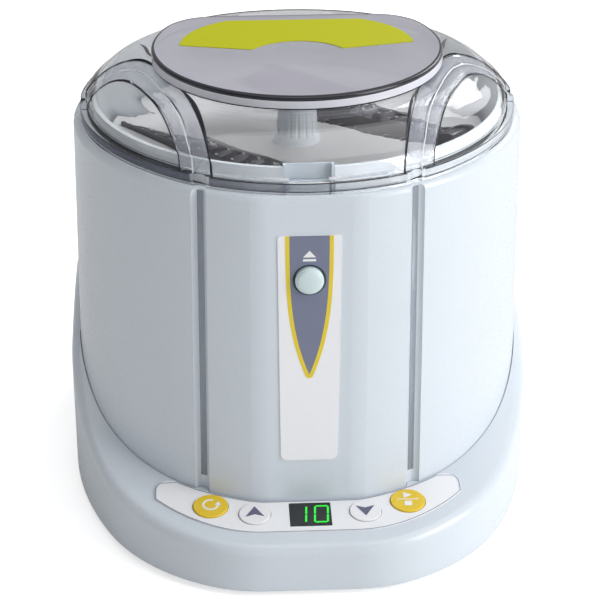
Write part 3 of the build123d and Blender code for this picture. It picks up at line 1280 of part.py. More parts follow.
with BuildPart() as display_window:
    with BuildSketch(panel(1, 0, DISPLAY_Y)):
        RectangleRounded(DISPLAY_WIDTH, DISPLAY_DEPTH, 0.8)
    extrude(amount=1 + OVERLAY_THICKNESS)
save(display_window, "display_window")

with BuildPart() as display_module:
    with BuildSketch(panel(BOARD_DROP, 0, DISPLAY_Y)):
        Rectangle(DISPLAY_WIDTH - 2, DISPLAY_DEPTH - 2)
    extrude(amount=BOARD_DROP - 1)
save(display_module, "display_module")


def key(x, y, radius):
    """Round key: a cap through the deck, a flange under it and a stem."""
    under_deck = BASE_WALL + FIT
    with BuildPart() as cap:
        with BuildSketch(panel(under_deck, x, y)):
            Circle(radius)
        extrude(amount=under_deck + KEY_PROUD)
        fillet(cap.edges().group_by(Axis.Z)[-1], radius=0.4)
        with BuildSketch(panel(under_deck, x, y)):
            Circle(radius + 1.2)
        extrude(amount=-KEY_FLANGE)
        with BuildSketch(panel(under_deck + KEY_FLANGE, x, y)):
            Circle(2)
        extrude(amount=-(BOARD_DROP - SWITCH_BODY - KEY_TRAVEL - 0.05 - under_deck - KEY_FLANGE))
    return cap


for name, place in KEYS.items():
    save(key(*place), name)

with BuildPart() as key_switches:
    for x, y, radius in KEYS.values():
        with BuildSketch(panel(BOARD_DROP, x, y)):
            RectangleRounded(6, 6, 0.6)
        extrude(amount=SWITCH_BODY)
save(key_switches, "key_switches")

with BuildPart() as control_board:
    with BuildSketch(panel(BOARD_DROP + BOARD_THICKNESS)):
        add(base_outline(BOARD_MARGIN))
        with Locations((0, -FRONT_REACH)):
            Rectangle(2 * BOARD_HALF, BOARD_BACK, align=(Align.CENTER, Align.MIN), mode=Mode.INTERSECT)
        add(body_outline(BOARD_GAP), mode=Mode.SUBTRACT)
        with Locations(*PANEL_BOSS_SPOTS):
            Circle(SCREW_RADIUS + SCREW_GAP, mode=Mode.SUBTRACT)
        with Locations(HOUSING_BOSSES[-1]):
            Circle(BOSS_RADIUS + 1, mode=Mode.SUBTRACT)
    extrude(amount=BOARD_THICKNESS)
save(control_board, "control_board")

board_screws = screw_set(panel(BOARD_SCREW_DROP), PANEL_BOSS_SPOTS, BOARD_SCREW)
save(board_screws, "board_screws")

# ============================================================ the rear and power
with BuildPart() as power_inlet:
    with BuildSketch(front(BACK_WALL + SOCKET_FLANGE)):
        with Locations((INLET_X, INLET_Z)):
            RectangleRounded(INLET_WIDTH, INLET_HEIGHT, 2)
    extrude(amount=SOCKET_FLANGE)
    with BuildSketch(front(BACK_WALL)):
        with Locations((INLET_X, INLET_Z)):
            Rectangle(INLET_WIDTH - 3, INLET_HEIGHT - 4)
    extrude(amount=INLET_DEPTH)
    with BuildSketch(front(BACK_WALL + SOCKET_FLANGE)) as socket:
        with Locations((INLET_X, INLET_Z)):
            Rectangle(INLET_WIDTH - 6, INLET_HEIGHT - 8)
        chamfer(socket.vertices().group_by(Axis.Y)[-1], length=4)
    extrude(amount=SOCKET_DEPTH, mode=Mode.SUBTRACT)
save(power_inlet, "power_inlet")

with BuildPart() as inlet_pins:
    with BuildSketch(front(BACK_WALL + SOCKET_FLANGE - SOCKET_DEPTH)):
        for x, rise in ((-7, -1.5), (0, 2), (7, -1.5)):
            with Locations((INLET_X + x, INLET_Z + rise)):
                Rectangle(2, 4.5)
    extrude(amount=-PIN_LENGTH)
save(inlet_pins, "inlet_pins")

with BuildPart() as switch_frame:
    with BuildSketch(front(BACK_WALL + SOCKET_FLANGE)):
        with Locations((SWITCH_X, INLET_Z)):
            RectangleRounded(SWITCH_WIDTH + 3, SWITCH_HEIGHT + 3, 1.5)
    extrude(amount=SOCKET_FLANGE)
    with BuildSketch(front(BACK_WALL)):
        with Locations((SWITCH_X, INLET_Z)):
            Rectangle(SWITCH_WIDTH, SWITCH_HEIGHT)
    extrude(amount=SWITCH_BOX_DEPTH)
    with BuildSketch(front(BACK_WALL + SOCKET_FLANGE)):
        with Locations((SWITCH_X, INLET_Z)):
            Rectangle(SWITCH_WIDTH - 2.4, SWITCH_HEIGHT - 2.2)
    extrude(amount=SWITCH_WELL, mode=Mode.SUBTRACT)
    with BuildSketch(side(SWITCH_X)):
        with Locations((ROCKER_Y, INLET_Z)):
            Circle(ROCKER_PIN + RUNNING_GAP)
    extrude(amount=SWITCH_WIDTH / 2 - 0.5, both=True, mode=Mode.SUBTRACT)
save(switch_frame, "switch_frame")

with BuildPart() as power_rocker:
    rocker_half = SWITCH_WIDTH / 2 - 1.2 - FIT
    reach = SWITCH_HEIGHT / 2 - 1.8
    with BuildSketch(side(SWITCH_X)):
        with Locations(Location((ROCKER_Y, INLET_Z), ROCKER_TILT)):
            Polygon(
                (2.4, -reach), (1.2, 0), (2.4, reach), (-2.5, reach - 0.4), (-2.5, 0.4 - reach),
                align=None,
            )
    extrude(amount=rocker_half, both=True)
    with BuildSketch(side(SWITCH_X)):
        with Locations((ROCKER_Y, INLET_Z)):
            Circle(ROCKER_PIN)
    extrude(amount=SWITCH_WIDTH / 2 - 0.6, both=True)
save(power_rocker, "power_rocker")

with BuildPart() as power_board:
    with BuildSketch(level(POWER_BOARD_Z)):
        with Locations((POWER_BOARD_X, 0)):
            RectangleRounded(26, 84, 1.5)
        with Locations(*BOARD_SPOTS):
            Circle(SCREW_RADIUS + SCREW_GAP, mode=Mode.SUBTRACT)
    extrude(amount=BOARD_THICKNESS)
save(power_board, "power_board")

with BuildPart() as power_components:
    board_top = POWER_BOARD_Z + BOARD_THICKNESS
    with BuildSketch(level(board_top, POWER_BOARD_X, 8)):
        Rectangle(22, 30)
    extrude(amount=24)
    with BuildSketch(level(board_top, POWER_BOARD_X, -16)):
        with GridLocations(12, 0, 2, 1):
            Circle(5)
    extrude(amount=20)
    with BuildSketch(level(board_top, POWER_BOARD_X, -28)):
        Rectangle(20, 2)
        with Locations((0, 2.5)):
            with GridLocations(4, 0, 5, 1):
                Rectangle(1, 4)
    extrude(amount=22)
save(power_components, "power_components")

power_board_screws = screw_set(
    facing_down(POWER_BOARD_Z + BOARD_THICKNESS + SCREW_HEAD_HEIGHT), BOARD_SPOTS, BOARD_SCREW - 1
)
save(power_board_screws, "power_board_screws")
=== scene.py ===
import json
import math

import bmesh
import bpy
from mathutils import Matrix, Vector
from mathutils.bvhtree import BVHTree

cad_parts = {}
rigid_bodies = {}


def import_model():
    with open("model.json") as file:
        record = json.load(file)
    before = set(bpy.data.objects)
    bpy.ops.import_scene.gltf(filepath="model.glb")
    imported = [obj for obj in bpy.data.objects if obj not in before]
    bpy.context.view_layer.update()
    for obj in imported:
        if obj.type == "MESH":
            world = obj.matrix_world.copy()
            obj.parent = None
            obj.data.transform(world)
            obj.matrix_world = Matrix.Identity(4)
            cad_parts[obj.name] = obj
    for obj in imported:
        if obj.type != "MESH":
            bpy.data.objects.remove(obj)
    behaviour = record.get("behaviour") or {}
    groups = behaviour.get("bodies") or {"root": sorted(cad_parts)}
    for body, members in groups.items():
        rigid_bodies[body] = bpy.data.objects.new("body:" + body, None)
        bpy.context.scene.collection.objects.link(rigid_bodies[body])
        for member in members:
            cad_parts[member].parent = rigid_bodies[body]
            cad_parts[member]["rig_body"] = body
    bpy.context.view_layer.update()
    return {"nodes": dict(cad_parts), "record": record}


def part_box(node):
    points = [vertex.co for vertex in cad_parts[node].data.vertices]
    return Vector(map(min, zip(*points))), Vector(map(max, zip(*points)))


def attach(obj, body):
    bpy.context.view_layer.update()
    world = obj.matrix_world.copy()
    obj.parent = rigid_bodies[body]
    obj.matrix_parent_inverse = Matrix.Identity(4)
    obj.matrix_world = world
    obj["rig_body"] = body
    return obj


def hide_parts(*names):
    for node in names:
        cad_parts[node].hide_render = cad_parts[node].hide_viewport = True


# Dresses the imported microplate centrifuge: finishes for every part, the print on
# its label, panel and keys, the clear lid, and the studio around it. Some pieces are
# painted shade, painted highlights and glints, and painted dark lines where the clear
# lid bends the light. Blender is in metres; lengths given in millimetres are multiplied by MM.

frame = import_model()
NODES = frame["nodes"]
MM = 0.001

# ------------------------------------------------------------------- the camera
CAMERA_PLACE = Vector((-43.9, -824.5, 501.8)) * MM
CAMERA_TARGET = Vector((0.0, 14.0, 75.6)) * MM
CAMERA_LENS = 120.0
CAMERA_SENSOR = 36.0
CAMERA_SHIFT = 0.005
CAMERA_NEAR = 0.02


def place_camera():
    data = bpy.data.cameras.new("camera")
    data.lens = CAMERA_LENS
    data.sensor_width = CAMERA_SENSOR
    data.shift_x = CAMERA_SHIFT
    data.clip_start = CAMERA_NEAR
    camera = bpy.data.objects.new("camera", data)
    bpy.context.scene.collection.objects.link(camera)
    camera.location = CAMERA_PLACE
    camera.rotation_euler = (CAMERA_TARGET - CAMERA_PLACE).to_track_quat("-Z", "Y").to_euler()
    bpy.context.scene.camera = camera


# ------------------------------------------------------------------- materials
PLASTIC_IOR = 1.46
COAT_ROUGHNESS = 0.08
CLEAR_ROUGHNESS = 0.015
CLEAR_LAMP_TINT = 0.97         # share of a lamp's light that passes the clear lid
SIDE_SHADE_LEFT_END = -0.07          # across the lid, where the painted shade is densest
SIDE_SHADE_RIGHT_END = 0.02
SIDE_SHADE_ROUGHNESS = 0.12


def srgb(red, green, blue):
    """Linear colour of an 8-bit screen colour."""
    def linear(value):
        value /= 255.0
        return value / 12.92 if value <= 0.04045 else ((value + 0.055) / 1.055) ** 2.4
    return (linear(red), linear(green), linear(blue), 1.0)


def node_material(name):
    material = bpy.data.materials.new(name)
    material.use_nodes = True
    tree = material.node_tree
    return material, tree, tree.nodes["Principled BSDF"]


def noise(tree, scale, detail=3.0, roughness=0.5, stretch=None):
    """Noise in the object's own metres: scale is features per metre."""
    coordinates = tree.nodes.new("ShaderNodeTexCoord")
    texture = tree.nodes.new("ShaderNodeTexNoise")
    texture.inputs["Scale"].default_value = scale
    texture.inputs["Detail"].default_value = detail
    texture.inputs["Roughness"].default_value = roughness
    if stretch:
        mapping = tree.nodes.new("ShaderNodeMapping")
        mapping.inputs["Scale"].default_value = stretch
        tree.links.new(coordinates.outputs["Object"], mapping.inputs["Vector"])
        tree.links.new(mapping.outputs["Vector"], texture.inputs["Vector"])
    else:
        tree.links.new(coordinates.outputs["Object"], texture.inputs["Vector"])
    return texture.outputs["Fac"]


def spread(tree, value, low, high, start=0.3, end=0.7):
    """Maps a value from start..end, by default a noise's usual span, to low..high."""
    ranged = tree.nodes.new("ShaderNodeMapRange")
    ranged.inputs["From Min"].default_value = start
    ranged.inputs["From Max"].default_value = end
    ranged.inputs["To Min"].default_value = low
    ranged.inputs["To Max"].default_value = high
    tree.links.new(value, ranged.inputs["Value"])
    return ranged.outputs["Result"]


def blend_colours(tree, factor, first, second):
    mix = tree.nodes.new("ShaderNodeMix")
    mix.data_type = "RGBA"
    mix.inputs["A"].default_value = first
    mix.inputs["B"].default_value = second
    tree.links.new(factor, mix.inputs["Factor"])
    return mix.outputs["Result"]


def shade(colour, factor):
    return tuple(channel * factor for channel in colour[:3]) + (1.0,)


def bump(tree, shader, height, strength, distance):
    node = tree.nodes.new("ShaderNodeBump")
    node.inputs["Strength"].default_value = strength
    node.inputs["Distance"].default_value = distance
    tree.links.new(height, node.inputs["Height"])
    tree.links.new(node.outputs["Normal"], shader.inputs["Normal"])


def moulded(name, colour, roughness, grain=700.0, relief=0.03, mottle=0.03, coat=0.0):
    """Moulded plastic or rubber: faint mottling, uneven gloss and a fine skin."""
    material, tree, shader = node_material(name)
    clouds = noise(tree, 28.0, 2.0)
    skin = noise(tree, grain, 4.0, 0.6)
    tone = blend_colours(tree, spread(tree, clouds, 0.0, 1.0), shade(colour, 1.0 - mottle), colour)
    tree.links.new(tone, shader.inputs["Base Color"])
    gloss = spread(tree, skin, roughness * 0.85, roughness * 1.15)
    tree.links.new(gloss, shader.inputs["Roughness"])
    shader.inputs["Coat Weight"].default_value = coat
    shader.inputs["Coat Roughness"].default_value = COAT_ROUGHNESS
    bump(tree, shader, skin, relief, 0.0004)
    return material


def turned_metal(name, colour, roughness, stretch=(1.0, 1.0, 14.0)):
    """Machined metal with fine tool lines."""
    material, tree, shader = node_material(name)
    lines = noise(tree, 260.0, 5.0, 0.65, stretch)
    tone = blend_colours(tree, spread(tree, lines, 0.0, 1.0), shade(colour, 0.86), colour)
    tree.links.new(tone, shader.inputs["Base Color"])
    tree.links.new(spread(tree, lines, roughness * 0.7, roughness * 1.35), shader.inputs["Roughness"])
    shader.inputs["Metallic"].default_value = 1.0
    bump(tree, shader, lines, 0.08, 0.0002)
    return material


def let_lamps_through(material, share):
    """Lamps reach what lies behind a clear part."""
    tree = material.node_tree
    shader = tree.nodes["Principled BSDF"]
    output = tree.nodes["Material Output"]
    paths = tree.nodes.new("ShaderNodeLightPath")
    open_air = tree.nodes.new("ShaderNodeBsdfTransparent")
    open_air.inputs["Color"].default_value = (share, share, share, 1.0)
    mix = tree.nodes.new("ShaderNodeMixShader")
    tree.links.new(paths.outputs["Is Shadow Ray"], mix.inputs["Fac"])
    tree.links.new(shader.outputs["BSDF"], mix.inputs[1])
    tree.links.new(open_air.outputs["BSDF"], mix.inputs[2])
    tree.links.new(mix.outputs["Shader"], output.inputs["Surface"])


def clear_plastic(name, tint):
    """Clear plastic with a faint ripple and uneven polish."""
    material, tree, shader = node_material(name)
    ripple = noise(tree, 35.0, 2.0)
    tree.links.new(blend_colours(tree, ripple, tint, shade(tint, 0.985)), shader.inputs["Base Color"])
    polish = spread(tree, noise(tree, 400.0), CLEAR_ROUGHNESS * 0.6, CLEAR_ROUGHNESS * 1.6)
    tree.links.new(polish, shader.inputs["Roughness"])
    shader.inputs["IOR"].default_value = PLASTIC_IOR
    shader.inputs["Transmission Weight"].default_value = 1.0
    bump(tree, shader, ripple, 0.02, 0.0006)
    let_lamps_through(material, CLEAR_LAMP_TINT)
    return material


def film(name, colour, roughness=0.35, gloss=0.5):
    """Printed film: flat colour with a faint ink grain."""
    material, tree, shader = node_material(name)
    ink = noise(tree, 1500.0, 4.0, 0.7)
    tone = blend_colours(tree, spread(tree, ink, 0.0, 1.0), shade(colour, 0.975), colour)
    tree.links.new(tone, shader.inputs["Base Color"])
    tree.links.new(spread(tree, ink, roughness * 0.9, roughness * 1.1), shader.inputs["Roughness"])
    shader.inputs["Specular IOR Level"].default_value = gloss
    bump(tree, shader, ink, 0.02, 0.0001)
    return material


def frosted(name, colour, cover, roughness=0.3, grain=0.0):
    """Milky or frosted clear plastic: cover is how much it hides, grain how unevenly."""
    material, tree, shader = node_material(name)
    clouds = noise(tree, 30.0, 2.0)
    tone = blend_colours(tree, spread(tree, clouds, 0.0, 1.0), shade(colour, 0.93), colour)
    tree.links.new(tone, shader.inputs["Base Color"])
    dots = noise(tree, 1800.0, 2.0)
    tree.links.new(spread(tree, dots, cover - grain, cover + grain), shader.inputs["Alpha"])
    shader.inputs["Roughness"].default_value = roughness
    shader.inputs["IOR"].default_value = PLASTIC_IOR
    return material


def painted_side_shade(name, colour, left_cover, right_cover):
    """Painted shade on a skin, denser towards the object's left side, away from the key light."""
    material, tree, shader = node_material(name)
    coordinates = tree.nodes.new("ShaderNodeTexCoord")
    parts = tree.nodes.new("ShaderNodeSeparateXYZ")
    tree.links.new(coordinates.outputs["Object"], parts.inputs["Vector"])
    cover = spread(tree, parts.outputs["X"], left_cover, right_cover, SIDE_SHADE_LEFT_END, SIDE_SHADE_RIGHT_END)
    tree.links.new(cover, shader.inputs["Alpha"])
    streaks = noise(tree, 60.0, 2.0)
    tree.links.new(blend_colours(tree, streaks, shade(colour, 0.8), colour), shader.inputs["Base Color"])
    shader.inputs["Roughness"].default_value = SIDE_SHADE_ROUGHNESS
    return material


def glowing(name, colour, strength):
    """Lit segments behind the display window."""
    material, tree, shader = node_material(name)
    shader.inputs["Base Color"].default_value = shade(colour, 0.3)
    glow = noise(tree, 900.0)
    tree.links.new(
        blend_colours(tree, spread(tree, glow, 0.0, 1.0), shade(colour, 0.85), colour),
        shader.inputs["Emission Color"],
    )
    shader.inputs["Emission Strength"].default_value = strength
    shader.inputs["Roughness"].default_value = 0.4
    return material


CASING = moulded(
    "casing_plastic", srgb(215, 223, 231), 0.3, grain=1400.0, relief=0.004, mottle=0.012, coat=0.25,
)
CHAMBER = moulded("chamber_plastic", srgb(232, 238, 243), 0.36, relief=0.006)
LATCH_BLUE = moulded("latch_plastic", srgb(212, 221, 228), 0.35, relief=0.006)
CLEAR = clear_plastic("clear_lid_plastic", srgb(250, 251, 253))
STICKER = film("sticker_film", srgb(192, 194, 6), 0.5, 0.15)
LABEL = film("label_film", srgb(246, 247, 250))
ROTOR = moulded("rotor_plastic", srgb(238, 237, 236), 0.4, relief=0.006)
# Dark grey paints the shade of the rotor's pockets onto the clear plates.
MICROPLATE_SHADED = moulded("microplate_in_painted_shade", srgb(104, 102, 108), 0.2, relief=0.006, mottle=0.15)
KNOB = moulded("knob_plastic", srgb(238, 244, 248), 0.38, relief=0.006)
STEEL = turned_metal("steel_finish", srgb(190, 192, 196), 0.28)
ALUMINIUM = turned_metal("aluminium_finish", srgb(205, 206, 209), 0.34, (1.0, 14.0, 1.0))
WINDINGS = turned_metal("winding_finish", srgb(196, 118, 62), 0.4)
RUBBER = moulded("rubber_finish", srgb(38, 38, 41), 0.75, relief=0.12, mottle=0.15)
BUTTON = moulded("button_plastic", srgb(213, 231, 233), 0.2, coat=0.4)
BLACK = moulded("black_plastic_finish", srgb(28, 28, 31), 0.45, relief=0.1, mottle=0.1)
DISPLAY = moulded("display_glass", srgb(14, 17, 14), 0.07, relief=0.0, mottle=0.2, coat=0.6)
KEY_YELLOW = moulded("key_yellow_plastic", srgb(240, 205, 50), 0.3)
KEY_WHITE = moulded("key_white_plastic", srgb(244, 244, 247), 0.3)
BOARD = moulded("board_laminate", srgb(34, 92, 56), 0.4, mottle=0.12)
COMPONENTS = moulded("component_finish", srgb(62, 56, 40), 0.4, mottle=0.2)
BRASS = turned_metal("brass_finish", srgb(214, 180, 110), 0.3)
FIELD_PURPLE = film("field_ink", srgb(121, 127, 151))
PRINT_YELLOW = film("border_ink", srgb(236, 210, 50))
PRINT_WHITE = film("white_ink", srgb(246, 247, 247))
MARK_PURPLE = film("mark_ink", srgb(100, 103, 130))
OUTLINE_GREY = film("outline_ink", srgb(140, 146, 166), 0.4)
# Painted shade of the gap round the button.
GAP_SHADE = film("ring_shade", srgb(40, 62, 72), 0.5)
GREEN_GLOW = glowing("lit_segments", srgb(40, 235, 60), 1.0)
WINDOW_FACE = frosted("window_plastic", srgb(198, 197, 209), 0.7, 0.16)
# Painted highlight on the window's side.
WINDOW_SIDE_HIGHLIGHT = frosted("window_side_highlight", srgb(236, 237, 245), 0.9, 0.16)
# Painted dark lines: they stand in for dark surroundings that the clear lid's edges and steps turn in.
PAINTED_DARK_LINE = moulded("painted_dark_line", srgb(14, 16, 34), 0.2, relief=0.01, mottle=0.2, coat=0.3)
# Painted highlight: the pale line along the middle of each arch.
PAINTED_HIGHLIGHT_LINE = moulded("painted_pale_highlight", srgb(238, 240, 246), 0.2, relief=0.01, coat=0.3)
FROST = frosted("frosted_band", srgb(196, 200, 212), 0.26, 0.3, 0.05)
# Painted shade: the flange's dark band, denser on its left, away from the key light.
FLANGE_SHADE = painted_side_shade("flange_painted_shade", srgb(66, 72, 98), 0.55, 0.05)
GROOVE_SHADE = painted_side_shade("groove_shade", srgb(186, 193, 204), 0.6, 0.5)
TUBE = frosted("well_tube", srgb(142, 141, 146), 0.75, 0.15)
# Painted glints on the well tubes.
TUBE_GLINT = frosted("painted_glint", srgb(238, 239, 243), 0.95, 0.12)
# Real raised rims round the wells, paler than the plate to paint in their glints.
WELL_RIM_GLINT = frosted("well_rim_glint", srgb(214, 216, 222), 0.85, 0.15)

SLOT_MATERIALS = {
    "casing": CASING,
    "chamber": CHAMBER,
    "latch_blue": LATCH_BLUE,
    "clear_lid": CLEAR,
    "sticker": STICKER,
    "label_film": LABEL,
    "rotor_plastic": ROTOR,
    "microplate": MICROPLATE_SHADED,
    "knob": KNOB,
    "steel": STEEL,
    "aluminium": ALUMINIUM,
    "windings": WINDINGS,
    "rubber": RUBBER,
    "button": BUTTON,
    "black_plastic": BLACK,
    "display": DISPLAY,
    "key_yellow": KEY_YELLOW,
    "key_white": KEY_WHITE,
    "board": BOARD,
    "components": COMPONENTS,
    "brass": BRASS,
}


def finish_nodes():
    """Gives each CAD part the material of its slot."""
    for entry in frame["record"]["subparts"]:
        part = NODES[entry["node"]]
        part.data.materials.clear()
        part.data.materials.append(SLOT_MATERIALS[entry["material_slot"]])


# ------------------------------------------------------------------- the studio
LIGHT_TARGET = (0.0, 0.0, 0.1)
LAMPS = (                      # name, place, size and power
    ("key_light", (1.5, -0.75, 0.85), (1.0, 1.2), 21.5),
    ("fill_light", (-1.5, -0.2, 0.7), (0.8, 1.0), 1.2),
    ("top_light", (0.2, 0.1, 1.5), (1.4, 1.4), 9.0),
    ("deck_light", (0.75, 1.35, 1.05), (0.7, 0.5), 5.0),
)
WALL_LEVEL = 0.75
CEILING_LEVEL = 0.35
CEILING_START = 0.1
CEILING_END = 0.55
LEFT_LEVEL = 0.44              # share of the walls' light at the left end
LEFT_END = -0.8
RIGHT_END = 0.6
FLOOR_SIZE = 4.0
FLOOR_TONES = ((0.90, 0.90, 0.90, 1.0), (0.92, 0.92, 0.92, 1.0))
FLOOR_LIFT = 0.6               # brightens the paper for the camera alone


def area_light(name, place, size, power):
    data = bpy.data.lights.new(name, "AREA")
    data.shape = "RECTANGLE"
    data.size, data.size_y = size
    data.energy = power
    light = bpy.data.objects.new(name, data)
    bpy.context.scene.collection.objects.link(light)
    light.location = place
    light.rotation_euler = (Vector(LIGHT_TARGET) - Vector(place)).to_track_quat("-Z", "Y").to_euler()


def studio_world():
    """White to the camera; to everything else pale walls, dimmer above and to the left."""
    world = bpy.data.worlds.new("studio_world")
    bpy.context.scene.world = world
    world.use_nodes = True
    tree = world.node_tree
    background = tree.nodes["Background"]
    background.inputs["Color"].default_value = (1.0, 1.0, 1.0, 1.0)
    direction = tree.nodes.new("ShaderNodeTexCoord")
    parts = tree.nodes.new("ShaderNodeSeparateXYZ")
    tree.links.new(direction.outputs["Generated"], parts.inputs["Vector"])
    height = spread(tree, parts.outputs["Z"], WALL_LEVEL, CEILING_LEVEL, CEILING_START, CEILING_END)
    sideways = spread(tree, parts.outputs["X"], LEFT_LEVEL, 1.0, LEFT_END, RIGHT_END)
    walls = tree.nodes.new("ShaderNodeMath")
    walls.operation = "MULTIPLY"
    tree.links.new(height, walls.inputs[0])
    tree.links.new(sideways, walls.inputs[1])
    paths = tree.nodes.new("ShaderNodeLightPath")
    level = tree.nodes.new("ShaderNodeMix")
    level.inputs["B"].default_value = 1.0
    tree.links.new(paths.outputs["Is Camera Ray"], level.inputs["Factor"])
    tree.links.new(walls.outputs["Value"], level.inputs["A"])
    tree.links.new(level.outputs["Result"], background.inputs["Strength"])


def floor_paper():
    """Pale paper that the object stands on, and that keeps its shadow."""
    mesh = bpy.data.meshes.new("floor")
    work = bmesh.new()
    bmesh.ops.create_grid(work, x_segments=1, y_segments=1, size=FLOOR_SIZE)
    work.to_mesh(mesh)
    work.free()
    floor = bpy.data.objects.new("floor", mesh)
    bpy.context.scene.collection.objects.link(floor)
    material, tree, shader = node_material("floor_paper")
    shader.inputs["Roughness"].default_value = 0.9
    shader.inputs["Specular IOR Level"].default_value = 0.1
    fibres = noise(tree, 300.0)
    tone = blend_colours(tree, fibres, *FLOOR_TONES)
    tree.links.new(tone, shader.inputs["Base Color"])
    paths = tree.nodes.new("ShaderNodeLightPath")
    lift = tree.nodes.new("ShaderNodeMath")
    lift.operation = "MULTIPLY"
    lift.inputs[1].default_value = FLOOR_LIFT
    tree.links.new(paths.outputs["Is Camera Ray"], lift.inputs[0])
    shader.inputs["Emission Color"].default_value = (1.0, 1.0, 1.0, 1.0)
    tree.links.new(lift.outputs["Value"], shader.inputs["Emission Strength"])
    floor.data.materials.append(material)


def studio():
    for lamp in LAMPS:
        area_light(*lamp)
    studio_world()
    floor_paper()


# --------------------------------------------------------------- making pieces
PRINT_THICKNESS = 0.06
PRINT_LIFT = 0.03              # from what carries it to a print's back
WELD = 0.001


def mesh_piece(name, mesh, materials, body):
    """Puts a finished mesh on a body and gives it its finish."""
    piece = bpy.data.objects.new(name, mesh)
    bpy.context.scene.collection.objects.link(piece)
    for material in materials:
        mesh.materials.append(material)
    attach(piece, body)
    return piece


def plane_at(point, normal):
    """Matrix whose local x is world X, and whose local z is the normal."""
    z_axis = normal.normalized()
    y_axis = z_axis.cross(Vector((1.0, 0.0, 0.0))).normalized()
    x_axis = y_axis.cross(z_axis)
    place = Matrix((x_axis, y_axis, z_axis)).transposed().to_4x4()
    place.translation = point
    return place


def print_piece(name, loops, place, material, body, lift=PRINT_LIFT):
    """Thin closed piece cut to outlines in millimetres; inner loops are holes."""
    curve = bpy.data.curves.new(name + "_outline", "CURVE")
    curve.dimensions = "2D"
    curve.fill_mode = "BOTH"
    curve.extrude = PRINT_THICKNESS * MM / 2
    for loop in loops:
        spline = curve.splines.new("POLY")
        spline.points.add(len(loop) - 1)
        for point, (u, v) in zip(spline.points, loop):
            point.co = (u * MM, v * MM, 0.0, 1.0)
        spline.use_cyclic_u = True
    outline = bpy.data.objects.new(name + "_outline", curve)
    mesh = bpy.data.meshes.new_from_object(outline)
    bpy.data.objects.remove(outline)
    bpy.data.curves.remove(curve)
    mesh.name = name
    mesh.transform(place @ Matrix.Translation((0.0, 0.0, (lift + PRINT_THICKNESS / 2) * MM)))
    mesh.materials.clear()
    work = bmesh.new()
    work.from_mesh(mesh)
    bmesh.ops.remove_doubles(work, verts=work.verts, dist=WELD * MM)
    bmesh.ops.recalc_face_normals(work, faces=work.faces)
    work.to_mesh(mesh)
    work.free()
    mesh_piece(name, mesh, [material], body)


def circle(radius, centre=(0.0, 0.0), steps=64):
    turns = [2 * math.pi * step / steps for step in range(steps)]
    return [(centre[0] + radius * math.cos(turn), centre[1] + radius * math.sin(turn)) for turn in turns]


def moved(loop, x, y):
    return [(u + x, v + y) for u, v in loop]


def surface_tree(mesh):
    return BVHTree.FromPolygons([v.co for v in mesh.vertices], [p.vertices for p in mesh.polygons])


def top_at(tree, x, y):
    """Highest point of a part above x, y, and the surface normal there."""
    point, normal, _, _ = tree.ray_cast(Vector((x, y, 1.0)), Vector((0.0, 0.0, -1.0)))
    return point, normal


def closed_mesh(name, work):
    """Mesh of a finished shape, its faces turned outwards."""
    mesh = bpy.data.meshes.new(name)
    bmesh.ops.recalc_face_normals(work, faces=work.faces)
    work.to_mesh(mesh)
    work.free()
    return mesh


def wrap_rows(work, rows, finishes=None):
    """Joins rings of corners by smooth faces; finishes has a material index for each step."""
    for step, (row, following) in enumerate(zip(rows, rows[1:])):
        for index in range(len(row)):
            after = (index + 1) % len(row)
            face = work.faces.new((row[index], row[after], following[after], following[index]))
            face.smooth = True
            if finishes:
                face.material_index = finishes[step]


# --------------------------------------------------------------- the label's print
FIELD_HALF = 8.3               # purple field, half width at the label's top
FIELD_LENGTH = 64.3
FIELD_POWER = 3.1
BORDER = 1.7
BUTTON_HOLE = 6.3
# GAP_SHADE_WIDTH is the width of the painted shade round the button's hole.
GAP_SHADE_WIDTH = 0.7
BUTTON_DROP = 20.0             # label's top edge to the middle of the button
OPEN_MARK_DROP = 9.2
LABEL_LEAN = math.radians(1.0)
OPEN_MARK_HALF = 2.7
OPEN_MARK_TIP = 2.5
OPEN_MARK_FOOT = -0.5
OPEN_BAR_TOP = -1.3
OPEN_BAR_FOOT = -2.3
OPEN_MARK_LIFT = 0.10          # the mark lies on the purple field
FIELD_STEPS = 48
POINT_STEPS = 8


def label_place():
    """Plane of the label's face, its origin at the middle of the top edge."""
    low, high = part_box("front_label")
    top_y = low.y + (high.z - low.z) * math.tan(LABEL_LEAN)
    outward = Vector((0.0, -math.cos(LABEL_LEAN), math.sin(LABEL_LEAN)))
    return plane_at(Vector((0.0, top_y, high.z)), outward)


def pointed_field(border):
    """Tongue hanging from the label's top edge to a point, or its outline moved out."""
    right = []
    for step in range(FIELD_STEPS + 1):
        share = math.sin(math.pi / 2 * step / FIELD_STEPS)
        slope = -FIELD_HALF * FIELD_POWER * share ** (FIELD_POWER - 1) / FIELD_LENGTH
        size = math.hypot(1.0, slope)
        x = FIELD_HALF * (1 - share ** FIELD_POWER)
        right.append((x + border / size, -share * FIELD_LENGTH + border * slope / size))
    if border:
        corner = math.atan2(-FIELD_HALF * FIELD_POWER / FIELD_LENGTH, 1.0)
        for step in range(1, POINT_STEPS + 1):
            turn = corner + (-math.pi / 2 - corner) * step / POINT_STEPS
            right.append((border * math.cos(turn), -FIELD_LENGTH + border * math.sin(turn)))
    return right + [(-x, y) for x, y in reversed(right[:-1])]


